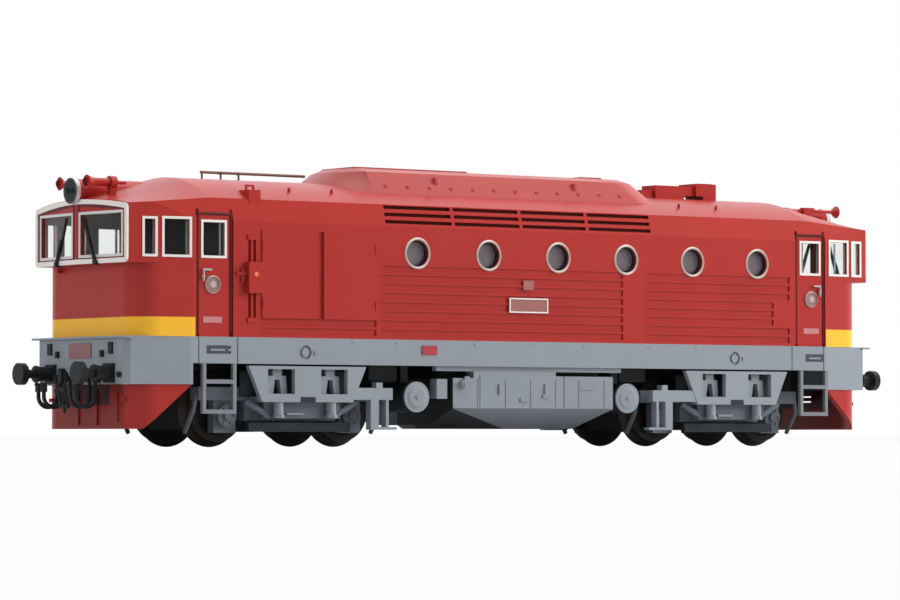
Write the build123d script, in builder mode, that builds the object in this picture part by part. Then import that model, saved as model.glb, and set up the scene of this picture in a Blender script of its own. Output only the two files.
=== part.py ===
"""Model diesel locomotive in 1:87, two cabs and two four-wheel bogies.

Millimetres. +X runs to the first cab, +Y to the locomotive's left side, +Z up.
The origin is under the middle of the model, at the lowest point of the wheel flanges.
Heights are written as heights above the rail, and level() or upright() adds the flange.
Each long side is the other one turned half round, so one sketch serves both.
"""
import os
from math import atan2, cos, degrees, hypot, sin, sqrt, tan

from build123d import *

os.makedirs("parts", exist_ok=True)

# Overall sizes
beam_length = 175.8
body_half = 17.4
pivot_distance = 102.3
wheelbase = 27.6
buffer_reach = 7.15

# Wheels
wheel_radius = 5.75
flange_depth = 1.0
flange_width = 0.8
tread_width = 2.0
wheel_back = 7.2
axle_radius = 0.75
running_gap = 0.06
seat_gap = 0.3

# Heights above the rail
sill_top = 18.9
sill_depth = 4.8
end_sill_depth = 8.6
goggle_bottom = 32.0
lean_start = 39.9
lean_rise = 4.1
visor_height = 43.7
visor_side = 42.4
roof_crown = 48.4
plough_bottom = 2.3

# Body shell, with its lengths counted back from the buffer beams
wall = 1.0
shoulder_in = 1.0
cab_length = 12.9
nose_setback = 1.9
nose_corner = 5.0
goggle_overhang = 1.05
goggle_point = 1.29
goggle_in = 1.55
roof_end_length = 18.0
hand_shift = 0.6

# Underframe
skirt_wall = 1.2
deck_thickness = 1.3
end_skirt_length = 12.35
beam_taper_length = 0.9
beam_taper_in = 1.8
beam_in = 3.0
pin_radius = 2.5
pin_over_axle = 3.85

# Bogies
frame_gap = 0.5
frame_thick = 2.8
cradle_proud = 0.1
cradle_plate = 1.1
cradle_back = 1.1

LEFT_AND_RIGHT = (1, -1)
BOTH_ENDS = (1, -1)
rail = flange_depth
beam_front = beam_length / 2
buffer_face = beam_front + buffer_reach
pivot_ahead = pivot_distance / 2
half_wheelbase = wheelbase / 2
sill_bottom = sill_top - sill_depth
end_sill_bottom = sill_top - end_sill_depth
deck_bottom = sill_top - deck_thickness
end_skirt_start = beam_front - end_skirt_length
cab_start = beam_front - cab_length
nose_ahead = beam_front - nose_setback
goggle_apex = beam_front + goggle_overhang
goggle_corner = goggle_apex - goggle_point
goggle_half = body_half - goggle_in
shoulder_half = body_half - shoulder_in
shoulder_height = lean_start + lean_rise
roof_end_start = goggle_apex - roof_end_length
taper_angle = atan2(goggle_in, goggle_corner - cab_start)
goggle_angle = atan2(goggle_point, goggle_half)
lean_angle = atan2(shoulder_in, lean_rise)


def level(height):
    """Horizontal plane at a height above the rail."""
    return Plane.XY.offset(rail + height)


def upright(x, y, across_x, across_y):
    """Standing plane through (x, y) that faces (across_x, across_y); its y is height above the rail."""
    return Plane(origin=(x, y, rail), x_dir=(-across_y, across_x, 0), z_dir=(across_x, across_y, 0))


def side_plane(side, out):
    """Plane on one long side. Its x runs back along the left side, and forward along the right."""
    return upright(0, side * out, 0, side)


def cab_side_plane(side, end):
    """Plane on a cab's tapered side, which starts at the cab's back corner."""
    return upright(end * cab_start, side * body_half, end * sin(taper_angle), side * cos(taper_angle))


def lean_plane(side):
    """Plane on the band under the roof, which leans in. Its y runs up the band."""
    across = (0, side * cos(lean_angle), sin(lean_angle))
    return Plane(origin=(0, side * body_half, rail + lean_start), x_dir=(-side, 0, 0), z_dir=across)


def end_plane(end, ahead):
    """Plane on one end. Its x runs to the left of somebody in that cab."""
    return upright(end * ahead, 0, end, 0)


def goggle_plane(end, side):
    """Plane on one half of the windscreen band, from its point at the middle outwards."""
    return upright(end * goggle_apex, 0, end * cos(goggle_angle), side * sin(goggle_angle))


def bogie_plane(end, height=0.0):
    """Horizontal plane centred on a bogie's pivot, turned half round for the second bogie."""
    return Plane(origin=(end * pivot_ahead, 0, rail + height), x_dir=(end, 0, 0), z_dir=(0, 0, 1))


def bogie_side(end, side, out):
    """Standing plane on one side of a bogie, centred on its pivot."""
    return upright(end * pivot_ahead, side * out, 0, side)


def axle_plane(x, side):
    """Plane through an axle. Its x runs out along the axle and its y runs up."""
    return Plane(origin=(x, 0, rail + wheel_radius), x_dir=(0, side, 0), z_dir=(side, 0, 0))


def around(points):
    """Outline through points on the left ahead, repeated in the other three quarters."""
    left_behind = [(-x, y) for x, y in reversed(points)]
    right_behind = [(-x, -y) for x, y in points if y]
    right_ahead = [(x, -y) for x, y in reversed(points) if y]
    return list(points) + left_behind + right_behind + right_ahead


def write(piece, name):
    """Label a finished piece and write its file."""
    piece.part.label = name
    export_step(piece.part, f"parts/{name}.step")


def taper_half(ahead):
    """Half width of the cab where its sides draw in towards the end."""
    return body_half - (ahead - cab_start) * tan(taper_angle)


def bend_radius(run, drop):
    """Radius of an arc that starts level and drops by that much over that run."""
    return (run**2 + drop**2) / (2 * drop)


def roof_at(out):
    """Height of the roof's curve at a distance out from the middle."""
    radius = bend_radius(shoulder_half, roof_crown - shoulder_height)
    return roof_crown - radius + sqrt(radius**2 - out**2)


def visor_at(out):
    """Height of the windscreen band's arched top edge at a distance out from the middle."""
    return visor_height - (visor_height - visor_side) * (out / shoulder_half) ** 2


def section(half, floor, shoulder, crown):
    """Closed cross-section with upright sides, a band that leans in and an arched roof."""
    with BuildSketch() as outline:
        with BuildLine():
            Polyline((half, floor), (half, lean_start), shoulder)
            ThreePointArc(shoulder, (0, crown), (-shoulder[0], shoulder[1]))
            Polyline((-shoulder[0], shoulder[1]), (-half, lean_start), (-half, floor), (half, floor))
        make_face()
    return outline.sketch_local


def body_form(inset):
    """The shell's outer form, or with an inset the room inside it, open below."""
    half = body_half - inset
    floor = sill_top - 2 * inset
    apex = goggle_apex - inset
    nose = nose_ahead - inset
    crown = roof_crown - inset
    shoulder = (shoulder_half - inset, shoulder_height - inset)
    with BuildPart() as plan:
        # nose below the windscreens
        with BuildSketch(level(floor)):
            Polygon(*around([(nose, taper_half(nose_ahead) - inset), (cab_start, half)]), align=None)
            corners = vertices().group_by(Axis.X)
            fillet(corners[0] + corners[-1], nose_corner - inset)
        extrude(amount=goggle_bottom + inset - floor)
        # windscreen band and roof above it, with a shallow point in plan
        band = [(apex, 0), (goggle_corner - inset, goggle_half - inset), (cab_start, half)]
        with BuildSketch(level(goggle_bottom + inset)):
            Polygon(*around(band), align=None)
        extrude(amount=roof_crown - goggle_bottom)
    with BuildPart() as form:
        # cross-section between the cabs
        with BuildSketch(end_plane(1, 0)):
            add(section(half, floor, shoulder, crown))
        extrude(amount=roof_end_start, both=True)
        # over each cab the roof's curve flattens and falls to the windscreen's top edge
        for end in BOTH_ENDS:
            with BuildSketch(end_plane(end, roof_end_start)):
                add(section(half, floor, shoulder, crown))
            with BuildSketch(end_plane(end, apex)):
                add(section(half, floor, (shoulder[0], visor_side - inset), visor_height - inset))
            loft(ruled=True)
        add(plan.part, mode=Mode.INTERSECT)
    return form.part


# Cab side windows: the glass opening of each, counted ahead from the cab's back corner
# columns: centre ahead, width, bottom height, top height, on the tapered side
cab_side_windows = [
    (9.1, 2.1, 33.5, 39.8, True),
    (3.8, 5.0, 33.5, 39.9, True),
    (-4.0, 4.6, 33.5, 39.5, False),
]
side_frame = 0.45
trim_proud = 0.15
trim_deep = 0.35
glass_thick = 0.45
glass_gap = 0.05
door_ahead = cab_start - 3.73
door_width = 7.2
door_top = 41.9
door_depth = 0.3
groove_width = 0.7
deep_groove = 0.7

# Windscreens: opening of each half, measured out from the middle of the band
screen_inner = 1.5
screen_outer = 13.9
screen_bottom = 33.6
screen_top = 40.9
surround_width = 0.5
goggle_rim = 0.85
goggle_rim_round = 0.8
goggle_rim_proud = 0.3

# Portholes along the engine room, counted back from the first
porthole_count = 6
porthole_first_ahead = 25.29
porthole_pitch = 16.58
porthole_height = 35.05
porthole_rim_radius = 2.95
porthole_glass_radius = 2.5
rim_proud = 0.3

# Air intake grille in the leaning band: slots in rows, between upright dividers
grille_ahead = 32.9
grille_behind = 31.0
grille_bays = 4
grille_divider = 0.7
slot_rows = (0.9, 2.3, 3.7)
slot_height = 0.7
slot_depth = 0.6

# Ribbed panels in the engine room's sides: shallow grooves that leave ribs between them
# columns: start and end behind the middle, lowest groove, number of grooves
rib_panels = [
    (-33.7, 23.6, 0, 8),
    (-60.2, -34.7, 0, 2),
    (29.2, 66.0, 0, 2),
    (29.2, 61.8, 2, 3),
    (29.2, 66.0, 5, 3),
]
rib_rows = 8
rib_width = 0.5
rib_bottom = sill_top + 0.35
rib_top = 32.8
groove_depth = 0.25

# Flat engine room doors, a little proud of the side, with a sunk seam between them
# columns: start and end behind the middle
engine_seam = (-48.0, -46.6)
engine_doors = [(-60.2, engine_seam[0]), (engine_seam[1], -34.7)]
engine_door_bottom = sill_top + 3.5
engine_door_top = 38.4
engine_door_proud = 0.2

# Door latch beside one cab: a rod in a slot with clamps and an arm, and the lock box over it
latch_behind = -62.3
latch_bottom = sill_top + 2.8
latch_top = 37.2
latch_slot_width = 1.7
latch_slot_depth = 0.5
latch_rod_width = 0.5
# columns: behind the middle, height, width, tall, proud
latch_blocks = [
    (-62.3, latch_bottom + 0.3, 2.0, 0.9, 0.25),
    (-62.3, latch_top - 0.2, 2.0, 0.9, 0.25),
    (-61.9, 29.7, 3.5, 5.7, 1.2),
    (-64.7, 30.4, 2.2, 0.5, 0.5),
    (-64.4, 30.0, 0.7, 2.4, 0.35),
]

# Box with a lifting loop on one shoulder of the roof
shoulder_box_ahead = 61.2
shoulder_box_length = 2.5
shoulder_box_out = 14.7
shoulder_box_deep = 3.8
shoulder_box_top = shoulder_height + 1.7
loop_length = 1.9
loop_tall = 1.0
loop_bar = 0.35

# Barrel of each headlight, moulded with the roof, whose top runs back into the roof's crown
headlight_height = 45.3
barrel_radius = 2.2
barrel_front = goggle_apex + 0.35
barrel_back = roof_end_start

# Small stop under the windscreen band, out to the right of each cab's crew
stop_out = 10.0
stop_width = 1.0
stop_tall = 0.8
stop_reach = 1.0


def window_place(side, end, window):
    """Plane and centre of a cab side window."""
    ahead, width, bottom, top, tapered = window
    middle = (bottom + top) / 2
    if tapered:
        along = ahead / cos(taper_angle)
        return cab_side_plane(side, end), (hand_shift - end * side * along, middle)
    return side_plane(side, body_half), (hand_shift - end * side * (cab_start + ahead), middle)


def porthole_places():
    """Centres of one side's portholes on its side plane."""
    return [(i * porthole_pitch - porthole_first_ahead, porthole_height) for i in range(porthole_count)]


screen_middle = ((screen_inner + screen_outer) / 2, (screen_bottom + screen_top) / 2)
screen_size = (screen_outer - screen_inner, screen_top - screen_bottom)
bay_pitch = (grille_ahead + grille_behind) / grille_bays

groove_pitch = (rib_top - rib_bottom) / rib_rows

with BuildPart() as body_shell:
    add(body_form(0))
    for side in LEFT_AND_RIGHT:
        # shoulder box, its loop, the engine room doors and the latch's blocks
        with BuildSketch(level(lean_start)):
            with Locations((side * shoulder_box_ahead, side * shoulder_box_out)):
                Rectangle(shoulder_box_length, shoulder_box_deep)
        extrude(amount=shoulder_box_top - lean_start)
        with BuildSketch(side_plane(side, shoulder_box_out)):
            with Locations((-shoulder_box_ahead, shoulder_box_top)):
                Rectangle(loop_length, 2 * loop_tall)
                Rectangle(loop_length - 2 * loop_bar, 2 * (loop_tall - loop_bar), mode=Mode.SUBTRACT)
        extrude(amount=loop_bar)
        with BuildSketch(side_plane(side, body_half)):
            for start, stop in engine_doors:
                with Locations(((start + stop) / 2, (engine_door_bottom + engine_door_top) / 2)):
                    Rectangle(stop - start, engine_door_top - engine_door_bottom)
        extrude(amount=engine_door_proud)
        with BuildSketch(side_plane(side, body_half)):
            with Locations((latch_behind, (latch_bottom + latch_top) / 2)):
                Rectangle(latch_slot_width, latch_top - latch_bottom)
                Rectangle(latch_rod_width, latch_top - latch_bottom, mode=Mode.SUBTRACT)
        extrude(amount=-latch_slot_depth, mode=Mode.SUBTRACT)
        for back, height, width, tall, proud in latch_blocks:
            with BuildSketch(side_plane(side, body_half - latch_slot_depth)):
                with Locations((back, height)):
                    Rectangle(width, tall)
            extrude(amount=latch_slot_depth + proud)
    for end in BOTH_ENDS:
        with BuildSketch(end_plane(end, nose_ahead - wall / 2)):
            with Locations((-stop_out, goggle_bottom - stop_tall)):
                Rectangle(stop_width, stop_tall)
        extrude(amount=stop_reach + wall / 2)
        with BuildSketch(end_plane(end, barrel_back)):
            with Locations((0, headlight_height)):
                Circle(barrel_radius)
        extrude(amount=barrel_front - barrel_back)
    add(body_form(wall), mode=Mode.SUBTRACT)
    for side in LEFT_AND_RIGHT:
        with BuildSketch(side_plane(side, body_half)):
            for start, stop, lowest, rows in rib_panels:
                for row in range(lowest, lowest + rows):
                    with Locations(((start + stop) / 2, rib_bottom + (row + 0.5) * groove_pitch)):
                        Rectangle(stop - start, groove_pitch - rib_width)
            door_middle = (engine_door_bottom + engine_door_top) / 2
            with Locations((sum(engine_seam) / 2, door_middle)):
                Rectangle(engine_seam[1] - engine_seam[0], engine_door_top - engine_door_bottom)
        extrude(amount=-groove_depth, mode=Mode.SUBTRACT)
        with BuildSketch(side_plane(side, body_half)):
            with Locations(*porthole_places()):
                Circle(porthole_glass_radius)
        extrude(amount=-2 * wall, mode=Mode.SUBTRACT)
        with BuildSketch(lean_plane(side)):
            for bay in range(grille_bays):
                for row in slot_rows:
                    with Locations(((bay + 0.5) * bay_pitch - grille_ahead, row)):
                        Rectangle(bay_pitch - grille_divider, slot_height)
        extrude(amount=-slot_depth, mode=Mode.SUBTRACT)
        for end in BOTH_ENDS:
            with BuildSketch(side_plane(side, body_half)):
                door_middle = (sill_top + door_top) / 2
                with Locations((hand_shift - end * side * door_ahead, door_middle)):
                    Rectangle(door_width, door_top - sill_top)
            extrude(amount=-door_depth, mode=Mode.SUBTRACT)
            # deep grooves for the handrails, one behind the door and one in its front edge
            with BuildSketch(side_plane(side, body_half)):
                for edge in (-door_width / 2, door_width / 2):
                    ahead = door_ahead + edge - groove_width / 2
                    with Locations((hand_shift - end * side * ahead, door_middle)):
                        Rectangle(groove_width, door_top - sill_top)
            extrude(amount=-deep_groove, mode=Mode.SUBTRACT)
            for window in cab_side_windows:
                plane, centre = window_place(side, end, window)
                with BuildSketch(plane):
                    with Locations(centre):
                        Rectangle(window[1], window[3] - window[2])
                extrude(amount=-2 * wall, mode=Mode.SUBTRACT)
            with BuildSketch(goggle_plane(end, side)):
                with Locations((end * side * screen_middle[0], screen_middle[1])):
                    Rectangle(*screen_size)
            extrude(amount=-2 * wall, mode=Mode.SUBTRACT)
write(body_shell, "body_shell")

# Cream frames round the cab side windows, and the clear panes behind them
with BuildPart() as side_window_trims:
    for side in LEFT_AND_RIGHT:
        for end in BOTH_ENDS:
            for window in cab_side_windows:
                plane, centre = window_place(side, end, window)
                flush = 0 if window[4] else -door_depth
                with BuildSketch(plane.offset(flush)):
                    with Locations(centre):
                        Rectangle(window[1] + 2 * side_frame, window[3] - window[2] + 2 * side_frame)
                        Rectangle(window[1], window[3] - window[2], mode=Mode.SUBTRACT)
                extrude(amount=trim_proud)
write(side_window_trims, "side_window_trims")

with BuildPart() as side_window_glass:
    for side in LEFT_AND_RIGHT:
        for end in BOTH_ENDS:
            for window in cab_side_windows:
                plane, centre = window_place(side, end, window)
                with BuildSketch(plane.offset(-trim_deep)):
                    with Locations(centre):
                        height = window[3] - window[2]
                        Rectangle(window[1] - 2 * glass_gap, height - 2 * glass_gap)
                extrude(amount=-glass_thick)
write(side_window_glass, "side_window_glass")

# Windscreens: cream frame round the whole band, silver surround and pane in each half
with BuildPart() as windscreen_frames:
    frame_length = hypot(goggle_half, goggle_apex - goggle_corner)
    for end in BOTH_ENDS:
        for side in LEFT_AND_RIGHT:
            way = end * side
            outer_corner = -1 if way > 0 else 0
            with BuildSketch(goggle_plane(end, side)):
                for rim, mode in ((0, Mode.ADD), (goggle_rim, Mode.SUBTRACT)):
                    with BuildSketch(mode=mode):
                        reach = way * (frame_length - rim)
                        foot = goggle_bottom + rim
                        side_top = visor_at(frame_length) - rim
                        arch_top = visor_at(frame_length / 2) - rim
                        middle_top = visor_height - rim
                        with BuildLine():
                            Polyline((0, middle_top), (0, foot), (reach, foot), (reach, side_top))
                            ThreePointArc((reach, side_top), (reach / 2, arch_top), (0, middle_top))
                        make_face()
                        if rim == 0:
                            fillet(vertices().group_by(Axis.X)[outer_corner], goggle_rim_round)
            extrude(amount=goggle_rim_proud)
        # room for the headlight's barrel
        with BuildSketch(end_plane(end, goggle_corner)):
            with Locations((0, headlight_height)):
                Circle(barrel_radius)
        extrude(amount=barrel_front - goggle_corner, mode=Mode.SUBTRACT)
write(windscreen_frames, "windscreen_frames")

with BuildPart() as windscreen_surrounds:
    for end in BOTH_ENDS:
        for side in LEFT_AND_RIGHT:
            with BuildSketch(goggle_plane(end, side)):
                with Locations((end * side * screen_middle[0], screen_middle[1])):
                    Rectangle(screen_size[0] + 2 * surround_width, screen_size[1] + 2 * surround_width)
                    Rectangle(*screen_size, mode=Mode.SUBTRACT)
            extrude(amount=trim_proud)
write(windscreen_surrounds, "windscreen_surrounds")

with BuildPart() as windscreen_glass:
    for end in BOTH_ENDS:
        for side in LEFT_AND_RIGHT:
            with BuildSketch(goggle_plane(end, side).offset(-trim_deep)):
                with Locations((end * side * screen_middle[0], screen_middle[1])):
                    Rectangle(screen_size[0] - 2 * glass_gap, screen_size[1] - 2 * glass_gap)
            extrude(amount=-glass_thick)
write(windscreen_glass, "windscreen_glass")

# Wipers: an arm up from under each pane and a blade leaning to the middle
# columns: distance out and height at each end of the bar
wiper_bars = [
    (6.6, 32.3, 4.0, 37.6),
    (5.3, 34.2, 2.9, 40.6),
]
wiper_width = 0.4
wiper_thick = 0.25
wiper_clear = 0.3

with BuildPart() as wipers:
    for end in BOTH_ENDS:
        for side in LEFT_AND_RIGHT:
            way = end * side
            with BuildSketch(goggle_plane(end, side).offset(wiper_clear)):
                for low_out, low, high_out, high in wiper_bars:
                    run = way * (high_out - low_out)
                    rise = high - low
                    with Locations((way * (low_out + high_out) / 2, (low + high) / 2)):
                        Rectangle(hypot(run, rise), wiper_width, rotation=degrees(atan2(rise, run)))
            extrude(amount=wiper_thick)
write(wipers, "wipers")

# Portholes: turned rims on the side, and one clear strip along the inside of each wall
with BuildPart() as porthole_rims:
    for side in LEFT_AND_RIGHT:
        for back, height in porthole_places():
            x = -side * back
            with BuildSketch(Plane(origin=(x, side * body_half, rail + height))):
                Polygon(
                    (porthole_glass_radius, 0),
                    (porthole_rim_radius, 0),
                    ((porthole_glass_radius + porthole_rim_radius) / 2, side * rim_proud),
                    align=None,
                )
            revolve(axis=Axis((x, 0, rail + height), (0, 1, 0)))
write(porthole_rims, "porthole_rims")

with BuildPart() as porthole_glass:
    for side in LEFT_AND_RIGHT:
        with BuildSketch(side_plane(side, body_half - wall)):
            strip_middle = (porthole_count - 1) * porthole_pitch / 2 - porthole_first_ahead
            strip_length = (porthole_count - 1) * porthole_pitch + 4 * porthole_glass_radius
            with Locations((strip_middle, porthole_height)):
                Rectangle(strip_length, 3 * porthole_glass_radius)
        extrude(amount=-glass_thick)
write(porthole_glass, "porthole_glass")

# Cooling hood along the middle of the roof, seated on the roof's curve, with round sloping ends
hood_side_ahead = 31.3
hood_top = 51.3
# columns: height, half width, tip ahead, start of the side ahead, start of the side behind, tip behind
hood_levels = [
    (45.6, 12.1, 42.0, hood_side_ahead, 33.8, 43.5),
    (50.5, 9.2, 35.0, hood_side_ahead, 27.9, 36.8),
    (hood_top, 6.0, 33.0, hood_side_ahead, 27.9, 34.8),
]
# flat plate and cover on the hood: rear end, front end, top, half width
hood_lids = [
    (5.0, 31.3, 51.6, 5.4),
    (-30.0, -24.8, 51.8, 2.6),
]
hood_stops = (-16.0, 17.3)
hood_stop_out = 9.9
hood_stop_height = 49.2
hood_stop_size = (0.6, 1.2, 1.2)

with BuildPart() as roof_hood:
    for height, foot, tip, front, back, tail in hood_levels:
        with BuildSketch(level(height)):
            with BuildLine():
                ThreePointArc((front, foot), (tip, 0), (front, -foot))
                Line((front, -foot), (-back, -foot))
                ThreePointArc((-back, -foot), (-tail, 0), (-back, foot))
                Line((-back, foot), (front, foot))
            make_face()
    loft(ruled=True)
    for behind, ahead, top, out in hood_lids:
        with BuildSketch(level(hood_top)):
            with Locations(((behind + ahead) / 2, 0)):
                Rectangle(ahead - behind, 2 * out)
        extrude(amount=top - hood_top)
    for side in LEFT_AND_RIGHT:
        out = side * hood_stop_out
        with Locations(*[(-side * back, out, rail + hood_stop_height) for back in hood_stops]):
            Box(*hood_stop_size)
    add(body_form(0), mode=Mode.SUBTRACT)
write(roof_hood, "roof_hood")

# Exhaust silencer: a low pipe into a flat duct on one foot, with a taller outlet block at its back end
pipe_start = 41.0
pipe_half = 1.6
pipe_top = 49.9
duct_start = 44.1
duct_foot_end = 51.4
duct_end = 54.1
duct_half = 2.2
duct_bottom = 49.0
duct_top = 50.9
outlet_foot = 55.9
outlet_end = 59.2
outlet_half = 2.8
outlet_top = 51.5
exhaust_root = roof_crown - 2
# columns: start and end behind the middle, half width, bottom, top
exhaust_blocks = [
    (pipe_start, duct_start, pipe_half, exhaust_root, pipe_top),
    (duct_start, duct_end, duct_half, duct_bottom, duct_top),
    (duct_start, duct_foot_end, duct_half, exhaust_root, duct_bottom),
    (duct_end, outlet_end, outlet_half, duct_bottom, outlet_top),
    (outlet_foot, outlet_end, outlet_half, exhaust_root, duct_bottom),
]

with BuildPart() as exhaust_silencer:
    for start, stop, half, bottom, top in exhaust_blocks:
        with BuildSketch(level(bottom)):
            with Locations((-(start + stop) / 2, 0)):
                Rectangle(stop - start, 2 * half)
        extrude(amount=top - bottom)
    add(body_form(0), mode=Mode.SUBTRACT)
write(exhaust_silencer, "exhaust_silencer")

# Roof handrail: a wire rail on three posts beside the hood
handrail_half = 0.3
handrail_post_radius = 0.22
handrail_out = 8.0
handrail_height = 50.3
handrail_to = 57.0
handrail_posts = (56.7, 52.5, 48.5)
handrail_from = hood_side_ahead + 2.2

with BuildPart() as roof_handrail:
    with BuildSketch(end_plane(1, handrail_from)):
        with Locations((-handrail_out, handrail_height)):
            RegularPolygon(handrail_half, 6)
    extrude(amount=handrail_to - handrail_from)
    foot = roof_at(handrail_out - handrail_post_radius)
    with BuildSketch(level(foot)):
        with Locations(*[(ahead, -handrail_out) for ahead in handrail_posts]):
            RegularPolygon(handrail_post_radius, 6)
    extrude(amount=handrail_height - foot)
write(roof_handrail, "roof_handrail")

# Horns beside each headlight: a stout one on the crew's left and a thin one on their right
horn_out = 4.65
horn_height = visor_height + 3.1
horn_tip = goggle_apex + 0.6
horn_bell = 1.25
horn_bell_length = 1.3
horn_pipe = 0.3
# columns: hand, tube radius and end, chamber's end, radius and sides, foot's width, pipe's end
horn_kinds = [
    (1, 0.75, 4.7, 5.9, 1.2, 12, 1.1, 8.3),
    (-1, 0.35, 6.3, 9.2, 0.9, 4, 1.3, 10.0),
]

with BuildPart() as horns:
    for end in BOTH_ENDS:
        for hand, tube, tube_end, chamber_end, chamber, sides, foot, pipe_end in horn_kinds:
            out = end * hand * horn_out
            with BuildSketch(Plane(origin=(0, out, rail + horn_height))):
                trumpet = [(0, 0), (0, horn_bell), (horn_bell_length, tube), (tube_end, tube), (tube_end, 0)]
                Polygon(*[(end * (horn_tip - back), radius) for back, radius in trumpet], align=None)
            revolve(axis=Axis((0, out, rail + horn_height), (1, 0, 0)))
            for radius, count, start, stop in (
                (chamber, sides, tube_end, chamber_end),
                (horn_pipe, 6, chamber_end, pipe_end),
            ):
                with BuildSketch(end_plane(end, horn_tip - stop)):
                    with Locations((hand * horn_out, horn_height)):
                        RegularPolygon(radius, count, rotation=180 / count)
                extrude(amount=stop - start)
            # foot under the chamber
            with BuildSketch(level(visor_side)):
                with Locations((end * (horn_tip - (tube_end + chamber_end) / 2), out)):
                    Rectangle(chamber_end - tube_end, foot)
            extrude(amount=horn_height - visor_side)
    add(body_form(0), mode=Mode.SUBTRACT)
write(horns, "horns")

# Headlights over the windscreens: a ring on the front of each barrel, with a dark lens
headlight_radius = 2.35
headlight_front = goggle_apex + 1.25
lens_radius = 1.95
lens_deep = 0.5
lens_thick = 0.4

with BuildPart() as headlight_housings:
    for end in BOTH_ENDS:
        with BuildSketch(end_plane(end, barrel_front)):
            with Locations((0, headlight_height)):
                Circle(headlight_radius)
        extrude(amount=headlight_front - barrel_front)
        with BuildSketch(end_plane(end, headlight_front)):
            with Locations((0, headlight_height)):
                Circle(lens_radius)
        extrude(amount=-lens_deep, mode=Mode.SUBTRACT)
write(headlight_housings, "headlight_housings")

with BuildPart() as headlight_lenses:
    for end in BOTH_ENDS:
        with BuildSketch(end_plane(end, headlight_front - lens_deep)):
            with Locations((0, headlight_height)):
                Circle(lens_radius)
        extrude(amount=lens_thick)
write(headlight_lenses, "headlight_lenses")

# Cab interiors: floor, desk, two seats and the wall behind the crew, all clear of the shell
cab_floor = sill_top + 5.1
cab_floor_thick = 0.8
cab_wall_ahead = cab_start - 9.4
cab_wall_thick = 0.8
cab_wall_top = 42.0
desk_back = nose_ahead - 5.5
desk_height = 31.0
seat_ahead = cab_start - 1.0
seat_out = 8.0
seat_size = 4.6
seat_height = 28.0
seat_back_height = 33.0
seat_back_thick = 0.9

with BuildPart() as cab_interiors:
    for end in BOTH_ENDS:
        with BuildSketch(level(cab_floor)):
            with Locations((end * (cab_wall_ahead + nose_ahead) / 2, 0)):
                Rectangle(nose_ahead - cab_wall_ahead, 2 * body_half)
        extrude(amount=-cab_floor_thick)
        with BuildSketch(level(cab_floor)):
            with Locations((end * (cab_wall_ahead + cab_wall_thick / 2), 0)):
                Rectangle(cab_wall_thick, 2 * body_half)
        extrude(amount=cab_wall_top - cab_floor)
        with BuildSketch(level(cab_floor)):
            with Locations((end * (desk_back + nose_ahead) / 2, 0)):
                Rectangle(nose_ahead - desk_back, 2 * body_half)
        extrude(amount=desk_height - cab_floor)
        seats = [(end * seat_ahead, side * seat_out) for side in LEFT_AND_RIGHT]
        with BuildSketch(level(cab_floor)):
            with Locations(*seats):
                Rectangle(seat_size, seat_size)
        extrude(amount=seat_height - cab_floor)
        with BuildSketch(level(cab_floor)):
            with Locations(*[(x - end * (seat_size - seat_back_thick) / 2, y) for x, y in seats]):
                Rectangle(seat_back_thick, seat_size)
        extrude(amount=seat_back_height - cab_floor)
    add(body_form(wall + glass_gap), mode=Mode.INTERSECT)
write(cab_interiors, "cab_interiors")

# Ballast and motor block on the underframe, inside the body
block_half_length = 60.0
block_half_width = 12.0
block_top = 33.0

with BuildPart() as chassis_block:
    with BuildSketch(level(sill_top)):
        Rectangle(2 * block_half_length, 2 * block_half_width)
    extrude(amount=block_top - sill_top)
write(chassis_block, "chassis_block")

# Underframe: deck, side skirts, deeper end skirts with the buffer beams, and the bogie pins
pin_boss_radius = 4.5
lip_thick = 0.35
lip_ahead = 0.7
rail_ahead = 20.5
rail_behind = 23.7
rail_drop = 0.9
rail_out = body_half - 0.8
rail_thick = 1.2
jack_radius = 1.3
jack_depth = 0.4
jack_height = sill_top - 2.6
ladder_ahead = cab_start - 4.15
ladder_shift = 1.65
vent_width = 4.7
vent_rows = (sill_top - 1.9, sill_top - 2.8)
vent_tall = 0.5
joint_places = (cab_start - 0.65, cab_start - 9.0)
joint_width = 0.25
joint_depth = 0.2
lip_half = body_half - 1.4


def frame_outline(inset):
    """Underframe in plan, drawn in by an inset."""
    return around(
        [
            (beam_front - inset, body_half - beam_in - inset / 2),
            (beam_front - beam_taper_length - inset, body_half - beam_taper_in - inset),
            (end_skirt_start, body_half - inset),
        ]
    )


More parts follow.
